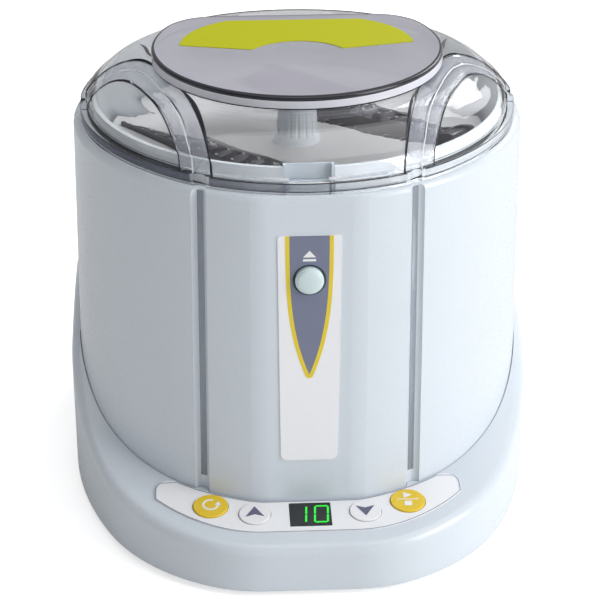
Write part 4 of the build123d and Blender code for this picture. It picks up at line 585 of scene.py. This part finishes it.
def label_print():
    place = label_place()
    inner = pointed_field(0.0)
    outer = pointed_field(BORDER)
    middle = (0.0, -BUTTON_DROP)
    hole = circle(BUTTON_HOLE + GAP_SHADE_WIDTH, middle)
    print_piece("label_field", [inner, hole], place, FIELD_PURPLE, "casing")
    print_piece("label_border", [outer + inner[::-1]], place, PRINT_YELLOW, "casing")
    # Painted shade of the gap round the button: a dark ring on the label.
    ring = [hole, circle(BUTTON_HOLE, middle)]
    print_piece("button_gap_shade", ring, place, GAP_SHADE, "casing")
    half = OPEN_MARK_HALF
    triangle = [(-half, OPEN_MARK_FOOT), (half, OPEN_MARK_FOOT), (0.0, OPEN_MARK_TIP)]
    bar = [(-half, OPEN_BAR_FOOT), (half, OPEN_BAR_FOOT), (half, OPEN_BAR_TOP), (-half, OPEN_BAR_TOP)]
    for name, mark in (("open_mark_arrow", triangle), ("open_mark_bar", bar)):
        mark = moved(mark, 0.0, -OPEN_MARK_DROP)
        print_piece(name, [mark], place, PRINT_WHITE, "casing", OPEN_MARK_LIFT)


# --------------------------------------------------------------- panel and keys
DECK_SLOPE = math.radians(7.0)
OUTLINE_WIDTH = 0.35
DIGIT_WIDTH = 5.6
DIGIT_HEIGHT = 10.6
DIGIT_STROKE = 0.85
DIGIT_SLANT = 0.06
DIGIT_PLACES = {"1": -4.6, "0": 4.8}
DIGIT_SEGMENTS = {"1": "bc", "0": "abcdef"}
ARROW_HALF = 4.1
ARROW_TIP = 4.1
ARROW_BASE = -2.7
ARROW_NOTCH = -1.2
OUTLINE_LIFT = 0.01
DIGIT_LIFT = 0.02
RING_OUTER = 3.7
RING_INNER = 2.7
RING_START = math.radians(70.0)
RING_SWEEP = math.radians(285.0)
RING_STEPS = 40
RING_HEAD_HALF = 1.4
RING_HEAD_LENGTH = 2.4
PLAY_MARK = [(-1.7, 0.9), (2.1, 2.9), (-1.7, 4.9)]
STOP_MARK = [(-1.6, -4.2), (1.6, -4.2), (1.6, -1.2), (-1.6, -1.2)]
DIVIDER_MARK = [(-4.6, -0.2), (4.6, -0.2), (4.6, 0.3), (-4.6, 0.3)]


def inset_loop(loop, distance):
    """The loop moved inwards; it runs anticlockwise."""
    moved_in = []
    count = len(loop)
    for index in range(count):
        before = Vector(loop[index]) - Vector(loop[index - 1])
        after = Vector(loop[(index + 1) % count]) - Vector(loop[index])
        along = (before.normalized() + after.normalized()).normalized()
        moved_in.append((loop[index][0] - along.y * distance, loop[index][1] + along.x * distance))
    return moved_in


def overlay_outline():
    """Thin printed line round the edge of the panel's overlay, read from the part."""
    work = bmesh.new()
    work.from_mesh(NODES["panel_overlay"].data)
    bmesh.ops.remove_doubles(work, verts=work.verts, dist=WELD * MM)
    up = Vector((0.0, -math.sin(DECK_SLOPE), math.cos(DECK_SLOPE)))
    top = {face for face in work.faces if face.normal.dot(up) > 0.999}
    height = max(face.calc_center_median().dot(up) for face in top)
    top = {face for face in top if face.calc_center_median().dot(up) > height - 0.1 * MM}
    rim = {edge for edge in work.edges if sum(face in top for face in edge.link_faces) == 1}
    place = plane_at(up * height, up)
    flat = place.inverted()
    loops = []
    while rim:
        edge = rim.pop()
        start, here = edge.verts
        chain = [start, here]
        while here != start:
            edge = next(e for e in here.link_edges if e in rim)
            rim.remove(edge)
            here = edge.other_vert(here)
            chain.append(here)
        loops.append([tuple((flat @ vert.co).xy / MM) for vert in chain[:-1]])
    work.free()
    outer = max(loops, key=lambda loop: max(x for x, _ in loop) - min(x for x, _ in loop))
    area = sum(a[0] * b[1] - b[0] * a[1] for a, b in zip(outer, outer[1:] + outer[:1]))
    if area < 0:
        outer.reverse()
    edges = [outer, inset_loop(outer, OUTLINE_WIDTH)]
    print_piece("panel_outline", edges, place, OUTLINE_GREY, "casing", OUTLINE_LIFT)


def segment_bar(start, end, stroke):
    """Pointed bar between two places."""
    start, end = Vector(start), Vector(end)
    along = (end - start).normalized() * stroke / 2
    across = Vector((-along.y, along.x))
    corners = [start + along * 0.3, start + along + across, end - along + across,
               end - along * 0.3, end - along - across, start + along - across]
    return [tuple(corner) for corner in corners]


def display_digits():
    low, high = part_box("display_window")
    point, normal = top_at(surface_tree(NODES["display_window"].data), 0.0, (low.y + high.y) / 2)
    place = plane_at(point, normal)
    half, tall = DIGIT_WIDTH / 2, DIGIT_HEIGHT / 2
    corners = {
        "a": ((-half, tall), (half, tall)),
        "b": ((half, tall), (half, 0)),
        "c": ((half, 0), (half, -tall)),
        "d": ((half, -tall), (-half, -tall)),
        "e": ((-half, -tall), (-half, 0)),
        "f": ((-half, 0), (-half, tall)),
    }
    for digit, centre in DIGIT_PLACES.items():
        for letter in DIGIT_SEGMENTS[digit]:
            ends = [(x + centre + y * DIGIT_SLANT, y) for x, y in corners[letter]]
            bar = segment_bar(*ends, DIGIT_STROKE)
            name = f"digit_{digit}_{letter}"
            print_piece(name, [bar], place, GREEN_GLOW, "casing", DIGIT_LIFT)


def turning_arrow():
    """Open ring with an arrowhead, for the key that spins while it is held."""
    turns = [RING_START + RING_SWEEP * step / RING_STEPS for step in range(RING_STEPS + 1)]
    ring = [(RING_OUTER * math.cos(t), RING_OUTER * math.sin(t)) for t in turns]
    ring += [(RING_INNER * math.cos(t), RING_INNER * math.sin(t)) for t in reversed(turns)]
    tip = turns[-1]
    middle = Vector((math.cos(tip), math.sin(tip)))
    along = Vector((-middle.y, middle.x))
    reach = (RING_OUTER + RING_INNER) / 2
    head = [middle * (reach + RING_HEAD_HALF), middle * reach + along * RING_HEAD_LENGTH,
            middle * (reach - RING_HEAD_HALF)]
    return ring, [tuple(corner) for corner in head]


def key_marks():
    arrow = [(0.0, ARROW_TIP), (-ARROW_HALF, ARROW_BASE), (0.0, ARROW_NOTCH), (ARROW_HALF, ARROW_BASE)]
    ring, head = turning_arrow()
    marks = {
        "key_up": (("up_arrow", arrow, MARK_PURPLE),),
        "key_down": (("down_arrow", [(x, -y) for x, y in arrow], MARK_PURPLE),),
        "key_short": (("spin_ring", ring, PRINT_WHITE), ("spin_head", head, PRINT_WHITE)),
        "key_start_stop": (("play_mark", PLAY_MARK, PRINT_WHITE), ("stop_mark", STOP_MARK, PRINT_WHITE),
                           ("mark_divider", DIVIDER_MARK, PRINT_WHITE)),
    }
    for node, shapes in marks.items():
        low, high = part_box(node)
        point, normal = top_at(surface_tree(NODES[node].data), (low.x + high.x) / 2, (low.y + high.y) / 2)
        place = plane_at(point, normal)
        body = NODES[node]["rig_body"]
        for name, shape, material in shapes:
            print_piece(name, [shape], place, material, body)


# --------------------------------------------------------------- the clear window
WINDOW_CORNER = 24.0 * MM
WINDOW_ROUND = 0.8 * MM
WINDOW_GAP = 0.12 * MM         # hairline between the window and the dome
# Painted dark lines on the window, for its edges turning in dark surroundings.
RIM_LINE_TOP = (0.5 * MM, 1.9 * MM)     # dark line on the face, thinnest and widest
RIM_LINE_SIDE = (0.25 * MM, 0.9 * MM)
FOOT_LINE = 0.55 * MM
WINDOW_STEPS = 96
CORNER_STEPS = 16
ROUND_STEPS = 4
LINE_FADE = 0.8


def window_outline(centre_y, radius, back, corner):
    """Circle with a flat back and rounded corners, anticlockwise from the back left."""
    corner_x = math.sqrt((radius - corner) ** 2 - (back - corner - centre_y) ** 2)
    corner_y = back - corner
    join = math.atan2(corner_y - centre_y, corner_x)
    points = []
    for step in range(CORNER_STEPS + 1):
        turn = math.pi / 2 + (math.pi / 2 - join) * step / CORNER_STEPS
        points.append((-corner_x + corner * math.cos(turn), corner_y + corner * math.sin(turn)))
    sweep = math.pi + 2 * join
    for step in range(1, WINDOW_STEPS):
        turn = math.pi - join + sweep * step / WINDOW_STEPS
        points.append((radius * math.cos(turn), centre_y + radius * math.sin(turn)))
    for step in range(CORNER_STEPS + 1):
        turn = join + (math.pi / 2 - join) * step / CORNER_STEPS
        points.append((corner_x + corner * math.cos(turn), corner_y + corner * math.sin(turn)))
    return points


def line_weight(x, y, centre_y):
    """1 at the front of the window, less along its sides and back."""
    facing = -(y - centre_y) / math.hypot(x, y - centre_y)
    return max(0.0, facing) ** LINE_FADE


def clear_window():
    """Thick flat window: milky face, a side painted pale as a highlight, and painted dark lines where its
    edges turn the light.
    """
    low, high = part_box("lid_window")
    radius = high.x
    centre_y = low.y + radius
    top = high.z
    bottom = low.z + WINDOW_GAP
    plain = window_outline(centre_y, radius, high.y, WINDOW_CORNER)
    weights = [line_weight(x, y, centre_y) for x, y in plain]

    def between(pair):
        return [pair[0] + (pair[1] - pair[0]) * weight for weight in weights]

    def ring(inset, heights):
        inset = inset if isinstance(inset, list) else [inset] * len(plain)
        heights = heights if isinstance(heights, list) else [heights] * len(plain)
        rows = {}
        points = []
        for index, depth in enumerate(inset):
            key = round(depth, 9)
            if key not in rows:
                rows[key] = window_outline(centre_y, radius - depth, high.y - depth, WINDOW_CORNER - depth)
            x, y = rows[key][index]
            points.append((x, y, heights[index]))
        return points

    side_line = [top - WINDOW_ROUND - depth for depth in between(RIM_LINE_SIDE)]
    top_line = [WINDOW_ROUND + depth for depth in between(RIM_LINE_TOP)]
    face, side, dark = range(3)
    rings = [(ring(0.0, bottom), dark), (ring(0.0, bottom + FOOT_LINE), side), (ring(0.0, side_line), dark)]
    for step in range(ROUND_STEPS + 1):
        turn = math.pi / 2 * step / ROUND_STEPS
        inset = WINDOW_ROUND * (1 - math.cos(turn))
        rings.append((ring(inset, top - WINDOW_ROUND * (1 - math.sin(turn))), dark))
    rings.append((ring(top_line, top), face))

    work = bmesh.new()
    rows = [[work.verts.new(point) for point in points] for points, _ in rings]
    wrap_rows(work, rows, [finish for _, finish in rings])
    work.faces.new(rows[-1]).material_index = face
    work.faces.new(rows[0][::-1]).material_index = face
    mesh = closed_mesh("clear_window", work)
    window = mesh_piece("clear_window", mesh, [WINDOW_FACE, WINDOW_SIDE_HIGHLIGHT, PAINTED_DARK_LINE], "lid")
    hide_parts("lid_window")


# --------------------------------------------------------------- lines of the dome
# Points are in millimetres from the rotor's axis, seen from above.
ARCH_OUTER = [(-38, -99), (-41, -80), (-48, -46), (-56, -23), (-65, -3), (-74, 5), (-87, 5), (-99, 3)]
ARCH_MIDDLE = [(-45, -99), (-49, -76), (-54, -53), (-60, -34), (-66, -18), (-74, -6), (-87, -3), (-99, -5)]
ARCH_INNER = [(-50, -99), (-56, -67), (-62, -46), (-69, -28), (-76, -16), (-83, -11), (-99, -13)]
CORNER_STROKE = [(-70, 26), (-67.5, 18), (-66, 10), (-64, 3)]
AXIS_Y = 14.0
RIM_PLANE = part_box("lid_dome")[0].z / MM
LEDGE_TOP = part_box("lid_dome")[0].z + 5.0 * MM
LINE_STEPS = 120
LINE_KEPT = 108                # points of a line, short of its blunt end at the side


def smooth_path(points, steps):
    """Points on a smooth curve through the given ones (natural cubic by chord)."""
    count = len(points)
    spans = [math.dist(points[i], points[i + 1]) for i in range(count - 1)]
    bends = []
    for axis in range(2):
        rows = [[0.0] * (count + 1) for _ in range(count)]
        rows[0][0] = rows[-1][count - 1] = 1.0
        for i in range(1, count - 1):
            rows[i][i - 1] = spans[i - 1]
            rows[i][i] = 2 * (spans[i - 1] + spans[i])
            rows[i][i + 1] = spans[i]
            rise = (points[i + 1][axis] - points[i][axis]) / spans[i]
            fall = (points[i][axis] - points[i - 1][axis]) / spans[i - 1]
            rows[i][count] = 6 * (rise - fall)
        for i in range(1, count):
            share = rows[i][i - 1] / rows[i - 1][i - 1]
            rows[i] = [a - share * b for a, b in zip(rows[i], rows[i - 1])]
        second = [0.0] * count
        for i in reversed(range(count)):
            later = rows[i][i + 1] * second[i + 1] if i + 1 < count else 0.0
            second[i] = (rows[i][count] - later) / rows[i][i]
        bends.append(second)
    length = sum(spans)
    path = []
    for step in range(steps + 1):
        along = min(length * step / steps, length - 1e-9)
        i = 0
        while along > spans[i]:
            along -= spans[i]
            i += 1
        span = spans[i]
        a, b = (span - along) / span, along / span
        place = []
        for axis in range(2):
            value = a * points[i][axis] + b * points[i + 1][axis]
            bend = (a ** 3 - a) * bends[axis][i] + (b ** 3 - b) * bends[axis][i + 1]
            place.append(value + bend * span * span / 6)
        path.append(tuple(place))
    return path


# ------------------------------------------------------------ the clear dome
# It is the CAD dome, drawn in at its sides and with its flat top ending nearer the
# window. Millimetres from the rotor's axis and the rim plane.
LID_EDGE = 98.5                # radius of the flange
FLANGE_INSIDE = 92.6
BOWL_SIDE = 93.0               # inside this radius the foot plane is no flange
DOME_FOOT = 97.4
FOOT_SLACK = 0.3
DOME_FLAT = 63.0               # radius of the flat top
FLANGE_HEIGHT = 5.2
DOME_RISE = 18.1
FLANGE_PULL = 1.8
FOOT_PULL = 2.8
FLANK_PULL = 1.5               # more, above the foot
FLANK_SPAN = (0.2, 0.5)        # where that starts and is full, as shares of the rise
WALL_SPAN = 6.0                # the pull fades out over this depth in the wall
SIDE_SPAN = (0.35, 0.85)       # from the front to the side, as the sine of the angle
BACK_SPAN = (55.0, 85.0)       # the pull fades out over this way back
TOP_CUT = 0.24
TOP_CUT_FROM = 42.0
TOP_CUT_START = 0.2            # share of the rise


def ease(value, low, high):
    share = min(max((value - low) / (high - low), 0.0), 1.0)
    return share * share * (3 - 2 * share)


def drawn_in(x, y, z):
    """New x and y of a point of the lid."""
    radius = math.hypot(x, y)
    share = min(max((z - FLANGE_HEIGHT) / DOME_RISE, 0.0), 1.0)
    outside = DOME_FLAT + (DOME_FOOT - DOME_FLAT) * math.sqrt(1 - share * share)
    pull = (FOOT_PULL + FLANK_PULL * ease(share, *FLANK_SPAN)) * math.sqrt(1 - share ** 8)
    pull *= min(max(1 - (outside - radius) / WALL_SPAN, 0.0), 1.0)
    above_foot = z >= FLANGE_HEIGHT - 0.01 and radius <= DOME_FOOT + FOOT_SLACK
    if not above_foot or (share == 0 and radius < BOWL_SIDE):
        pull = FLANGE_PULL * min(max((radius - FLANGE_INSIDE) / (LID_EDGE - FLANGE_INSIDE), 0.0), 1.0)
    pull *= ease(abs(x) / max(radius, 1.0), *SIDE_SPAN) * (1 - ease(y, *BACK_SPAN))
    scale = (radius - pull) / max(radius, 1.0)
    x, y = x * scale, y * scale
    if y > TOP_CUT_FROM:
        cut = TOP_CUT * max(0.0, share - TOP_CUT_START) / (1 - TOP_CUT_START)
        y = TOP_CUT_FROM + (y - TOP_CUT_FROM) * (1 - cut)
    return x, y


def lid_point(x, y, z):
    return Vector((x, y + AXIS_Y, z + RIM_PLANE)) * MM


def clear_dome():
    """Puts the drawn-in dome in the CAD dome's place; gives back its surface."""
    mesh = NODES["lid_dome"].data.copy()
    mesh.materials.clear()
    for vert in mesh.vertices:
        x, y, z = vert.co / MM
        y, z = y - AXIS_Y, z - RIM_PLANE
        vert.co = lid_point(*drawn_in(x, y, z), z)
    dome = mesh_piece("clear_dome", mesh, [CLEAR], "lid")
    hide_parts("lid_dome")
    return surface_tree(mesh)


# ------------------------------------------------- bands and lines on the lid
NOTCH_ANGLES = (26.9, 90.0, 153.1)
NOTCH_GAP = 2.6                # degrees from a notch to the bands' ends
BAND_STEP = 2.0                # degrees
FLANGE_BANDS = (               # name, low and high edge, stand-off and finish
    ("flange_painted_shade", 1.75, 5.0, 0.06, FLANGE_SHADE),
    ("flange_top_line", 4.75, 5.25, 0.12, PAINTED_DARK_LINE),
    ("flange_foot_line", 0.95, 1.5, -0.5, PAINTED_DARK_LINE),
)
SKIN_THICKNESS = 0.05
SKIN_LIFT = 0.06
SKIN_SHARES = (0.08, 0.36, 0.64, 0.92)  # places across a frosted band
LINE_LEVEL = FLANGE_HEIGHT + 6.0        # height at which the lines are drawn in
BEAD_CORNERS = 8
CREST_HALF = 46.0
CREST_HEIGHT = 21.0
CREST_START = 46.0
CREST_STRIDE = 0.25
CREST_STEPS = 60


def strip_piece(name, rows, material, body):
    """Thin closed skin through rows of points, thickened along its normals."""
    work = bmesh.new()
    grid = [[work.verts.new(point) for point in row] for row in rows]
    for row, following in zip(grid, grid[1:]):
        for first, second, third, fourth in zip(row, row[1:], following[1:], following):
            work.faces.new((first, second, third, fourth)).smooth = True
    work.normal_update()
    bmesh.ops.solidify(work, geom=work.faces[:], thickness=SKIN_THICKNESS * MM)
    mesh_piece(name, closed_mesh(name, work), [material], body)


def flange_bands():
    """Painted shade band and painted dark lines round the lid's flange, between its notches."""
    stops = [-angle for angle in reversed(NOTCH_ANGLES)] + list(NOTCH_ANGLES)
    for index, (start, end) in enumerate(zip(stops, stops[1:])):
        first, last = start + NOTCH_GAP, end - NOTCH_GAP
        count = max(8, round((last - first) / BAND_STEP))
        turns = [math.radians(first + (last - first) * step / count) for step in range(count + 1)]
        for name, low, high, stand_off, material in FLANGE_BANDS:
            rows = []
            for turn in turns:
                x, y = drawn_in(LID_EDGE * math.sin(turn), -LID_EDGE * math.cos(turn), 1.0)
                scale = 1 + stand_off / math.hypot(x, y)
                rows.append([lid_point(x * scale, y * scale, z) for z in (low, high)])
            strip_piece(f"{name}_{index}", rows, material, "lid")


def on_dome(tree, x, y, side):
    """Place and normal on the dome at a point seen from above; none below its ledge."""
    x, y = drawn_in(x, y, LINE_LEVEL)
    point, normal = top_at(tree, side * x * MM, (y + AXIS_Y) * MM)
    return (point, normal) if point is not None and point.z > LEDGE_TOP else None


def dome_path(tree, points, side):
    places = [on_dome(tree, x, y, side) for x, y in smooth_path(points, LINE_STEPS)]
    return [place for place in places if place]


def dome_line(name, path, width, height, material):
    """Fine bead laid along a path; width(along) gives its half width."""
    work = bmesh.new()
    turns = [2 * math.pi * corner / BEAD_CORNERS for corner in range(BEAD_CORNERS)]
    rows = []
    for index, (point, normal) in enumerate(path):
        before = path[max(index - 1, 0)][0]
        after = path[min(index + 1, len(path) - 1)][0]
        across = normal.cross(after - before).normalized() * width(index / (len(path) - 1)) * MM
        upward = normal * height * MM
        ring = [point + across * math.cos(turn) + upward * math.sin(turn) for turn in turns]
        rows.append([work.verts.new(corner) for corner in ring])
    wrap_rows(work, rows)
    work.faces.new(rows[0][::-1])
    work.faces.new(rows[-1])
    mesh_piece(name, closed_mesh(name, work), [material], "lid")


def frosted_band(name, tree, first, second, side):
    """Frosted skin on the dome between two lines seen from above."""
    rows = []
    pairs = list(zip(smooth_path(first, LINE_STEPS), smooth_path(second, LINE_STEPS)))
    for start, end in pairs[:LINE_KEPT]:
        row = []
        for share in SKIN_SHARES:
            x = start[0] + (end[0] - start[0]) * share
            y = start[1] + (end[1] - start[1]) * share
            row.append(on_dome(tree, x, y, side))
        if all(row):
            rows.append([point + normal * SKIN_LIFT * MM for point, normal in row])
    strip_piece(name, rows, FROST, "lid")


def back_crest(tree):
    """Painted dark line along the back edge of the dome's flat top, where the thick plastic bends the
    light.
    """
    path = []
    for step in range(CREST_STEPS + 1):
        x = -CREST_HALF + 2 * CREST_HALF * step / CREST_STEPS
        y = CREST_START
        point, normal = top_at(tree, x * MM, (y + AXIS_Y) * MM)
        while point.z > (RIM_PLANE + CREST_HEIGHT) * MM:
            found = (point, normal)
            y += CREST_STRIDE
            point, normal = top_at(tree, x * MM, (y + AXIS_Y) * MM)
        path.append(found)
    dome_line("back_crest", path, lambda along: 0.3, 0.3, PAINTED_DARK_LINE)


def outer_width(along):
    """Half width of the outer arch line, widest in front of the window's side."""
    return 0.4 + 0.7 * math.exp(-(((along - 0.28) / 0.2) ** 2))


def stroke_width(along):
    return 0.2 + 0.6 * math.sin(math.pi * along)


def dome_lines(tree):
    """Painted dark lines, a painted highlight line and frosted bands along the two arches, where thick
    plastic bends the light.
    """
    for side, word in ((1, "left"), (-1, "right")):
        outer, middle, inner = (
            dome_path(tree, line, side)[:LINE_KEPT] for line in (ARCH_OUTER, ARCH_MIDDLE, ARCH_INNER)
        )
        dome_line(f"arch_line_outer_{word}", outer, outer_width, 0.2, PAINTED_DARK_LINE)
        dome_line(f"arch_line_middle_{word}", middle, lambda along: 0.3, 0.2, PAINTED_HIGHLIGHT_LINE)
        dome_line(f"arch_line_inner_{word}", inner, lambda along: 0.33, 0.18, PAINTED_DARK_LINE)
        # Painted dark stroke where the arch meets the window's rim.
        stroke = dome_path(tree, CORNER_STROKE, side)
        dome_line(f"corner_stroke_{word}", stroke, stroke_width, 0.15, PAINTED_DARK_LINE)
        frosted_band(f"frosted_band_outer_{word}", tree, ARCH_OUTER, ARCH_MIDDLE, side)
        frosted_band(f"frosted_band_inner_{word}", tree, ARCH_MIDDLE, ARCH_INNER, side)


# --------------------------------------------------------------- grooves and button
GROOVE_ANGLES = NOTCH_ANGLES[:2]        # degrees each side of the front
GROOVE_RADIUS = 3.7
GROOVE_OUT = 1.3
SHADE_HALF = 24.0              # degrees each side of the groove's bottom
SHADE_STEPS = 8
SHADE_LIFT = 0.06
SHADE_FOOT = 36.0
SHADE_TOP = 1.0                # below the body's top
BODY_EDGE = 100.0
BODY_LEAN = math.tan(math.radians(1.0))
CAP_RADIUS = 5.3
CAP_BULGE = 0.9
CAP_LIFT = 0.01
CAP_MIDDLE = 0.02              # radius of the cap's flat middle
CAP_ROWS = 8
CAP_CORNERS = 48


def groove_shades():
    """Shading along the bottom of each upright channel of the body."""
    heights = (SHADE_FOOT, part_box("upper_body")[1].z / MM - SHADE_TOP)
    for angle in GROOVE_ANGLES:
        for side, word in ((-1, "left"), (1, "right")):
            turn = math.radians(side * angle)
            out = Vector((math.sin(turn), -math.cos(turn), 0.0))
            across = Vector((math.cos(turn), math.sin(turn), 0.0))
            rows = []
            for step in range(SHADE_STEPS + 1):
                bend = math.radians(SHADE_HALF * (2 * step / SHADE_STEPS - 1))
                inward = GROOVE_RADIUS * math.cos(bend) - SHADE_LIFT
                offset = across * GROOVE_RADIUS * math.sin(bend)
                row = []
                for height in heights:
                    reach = BODY_EDGE + (RIM_PLANE - height) * BODY_LEAN + GROOVE_OUT - inward
                    row.append((out * reach + offset + Vector((0.0, AXIS_Y, height))) * MM)
                rows.append(row)
            strip_piece(f"groove_shade_{word}_{angle:.0f}", rows, GROOVE_SHADE, "casing")


def button_cap():
    """Slightly domed cap on the button's face."""
    low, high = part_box("open_button")
    middle = Vector((0.0, low.y, (low.z + high.z) / 2))
    work = bmesh.new()
    rows = []
    for step in range(CAP_ROWS + 1):
        turn = math.pi / 2 * step / CAP_ROWS
        radius = max(CAP_RADIUS * math.cos(turn), CAP_MIDDLE)
        lift = CAP_BULGE * math.sin(turn) + CAP_LIFT
        outline = circle(radius, steps=CAP_CORNERS)
        rows.append([work.verts.new(middle + Vector((u, -lift, v)) * MM) for u, v in outline])
    wrap_rows(work, rows)
    work.faces.new(rows[0])
    work.faces.new(rows[-1])
    mesh_piece("button_cap", closed_mesh("button_cap", work), [BUTTON], "latch")


# --------------------------------------------------------------- the microplates
PLATE_WIDTH = 85.48
PLATE_HEIGHT = 14.35
PLATE_LEAN = math.radians(6.0)
PLATE_REST = math.radians(-45.0)        # direction of the plates with the rotor at rest
WELL_COLUMNS = 12
WELL_ROWS = 8
WELL_PITCH = 9.0
WELL_RADIUS = 3.3
WELL_WALL = 0.75
WELL_RISE = 0.45
WELL_CORNERS = 16
TUBE_RADIUS = 2.3
TUBE_INSET = 1.7               # from the plate's top edge to the tubes' middles
TUBE_ENDS = (3.2, 1.0)         # from the plate's back and face
# Painted glints: small pale rods across each tube.
GLINT_RADIUS = 0.6
GLINT_SPAN = (1.9, 2.6)          # outwards from the tube's middle
GLINT_ENDS = (4.6, 2.4)          # from the plate's back and face
ROD_CORNERS = 12


def plate_frame(side):
    """Matrix of a plate: x along it, y up its short side, z out of its wells."""
    along = Vector((math.cos(PLATE_REST), math.sin(PLATE_REST), 0.0))
    out = Vector((-math.sin(PLATE_REST), math.cos(PLATE_REST), 0.0)) * side
    wells = Vector((0.0, 0.0, math.sin(PLATE_LEAN))) - out * math.cos(PLATE_LEAN)
    name = "microplate_front" if side < 0 else "microplate_back"
    low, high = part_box(name)
    place = Matrix((along, wells.cross(along), wells)).transposed().to_4x4()
    place.translation = (low + high) / 2
    return place


def ring_mesh(work, place, centre, inner, outer, height):
    """Flat raised ring standing on a local point."""
    corners = ((inner, 0.0), (outer, 0.0), (outer, height), (inner, height))
    rows = []
    for step in range(WELL_CORNERS):
        turn = 2 * math.pi * step / WELL_CORNERS
        out = Vector((math.cos(turn), math.sin(turn), 0.0))
        points = [Vector(centre) + out * radius + Vector((0.0, 0.0, z)) for radius, z in corners]
        rows.append([work.verts.new(place @ (point * MM)) for point in points])
    for row, following in zip(rows, rows[1:] + rows[:1]):
        for corner in range(4):
            after = (corner + 1) % 4
            work.faces.new((row[corner], row[after], following[after], following[corner]))


def rod_mesh(work, place, start, end, radius):
    """Plain rod between two local points in millimetres."""
    start, end = Vector(start), Vector(end)
    axis = (end - start).normalized()
    first = axis.orthogonal().normalized()
    second = axis.cross(first)
    turns = [2 * math.pi * step / ROD_CORNERS for step in range(ROD_CORNERS)]
    outs = [first * radius * math.cos(turn) + second * radius * math.sin(turn) for turn in turns]
    rows = [[work.verts.new(place @ ((point + out) * MM)) for out in outs] for point in (start, end)]
    wrap_rows(work, rows)
    work.faces.new(rows[0][::-1])
    work.faces.new(rows[1])


def plate_details():
    """Raised rims round the wells, pale to paint in their glints, the outer row of tubes along each plate's
    top, and painted glints on the tubes.
    """
    back, face = -PLATE_HEIGHT / 2, PLATE_HEIGHT / 2
    columns = [(column - (WELL_COLUMNS - 1) / 2) * WELL_PITCH for column in range(WELL_COLUMNS)]
    well_rows = [(row - (WELL_ROWS - 1) / 2) * WELL_PITCH for row in range(WELL_ROWS)]
    for side, word in ((-1, "front"), (1, "back")):
        place = plate_frame(side)
        upward = 1 if (place.to_3x3() @ Vector((0.0, 1.0, 0.0))).z > 0 else -1
        edge = upward * (PLATE_WIDTH / 2 - TUBE_INSET)
        glint_start, glint_end = (edge + upward * reach for reach in GLINT_SPAN)
        rims, tubes, glints = bmesh.new(), bmesh.new(), bmesh.new()
        for x in columns:
            for y in well_rows:
                ring_mesh(rims, place, (x, y, face), WELL_RADIUS, WELL_RADIUS + WELL_WALL, WELL_RISE)
            start, end = (x, edge, back + TUBE_ENDS[0]), (x, edge, face - TUBE_ENDS[1])
            rod_mesh(tubes, place, start, end, TUBE_RADIUS)
            for z in (back + GLINT_ENDS[0], face - GLINT_ENDS[1]):
                rod_mesh(glints, place, (x, glint_start, z), (x, glint_end, z), GLINT_RADIUS)
        for name, work, material in (
            ("well_rims", rims, WELL_RIM_GLINT), ("well_tubes", tubes, TUBE), ("painted_tube_glints", glints, TUBE_GLINT),
        ):
            name = f"{name}_{word}"
            mesh_piece(name, closed_mesh(name, work), [material], "rotor")


# --------------------------------------------------------------- the whole scene
place_camera()
studio()
finish_nodes()
label_print()
overlay_outline()
display_digits()
key_marks()
clear_window()
dome_surface = clear_dome()
flange_bands()
dome_lines(dome_surface)
back_crest(dome_surface)
groove_shades()
button_cap()
plate_details()

bpy.context.scene.view_settings.view_transform = "Standard"
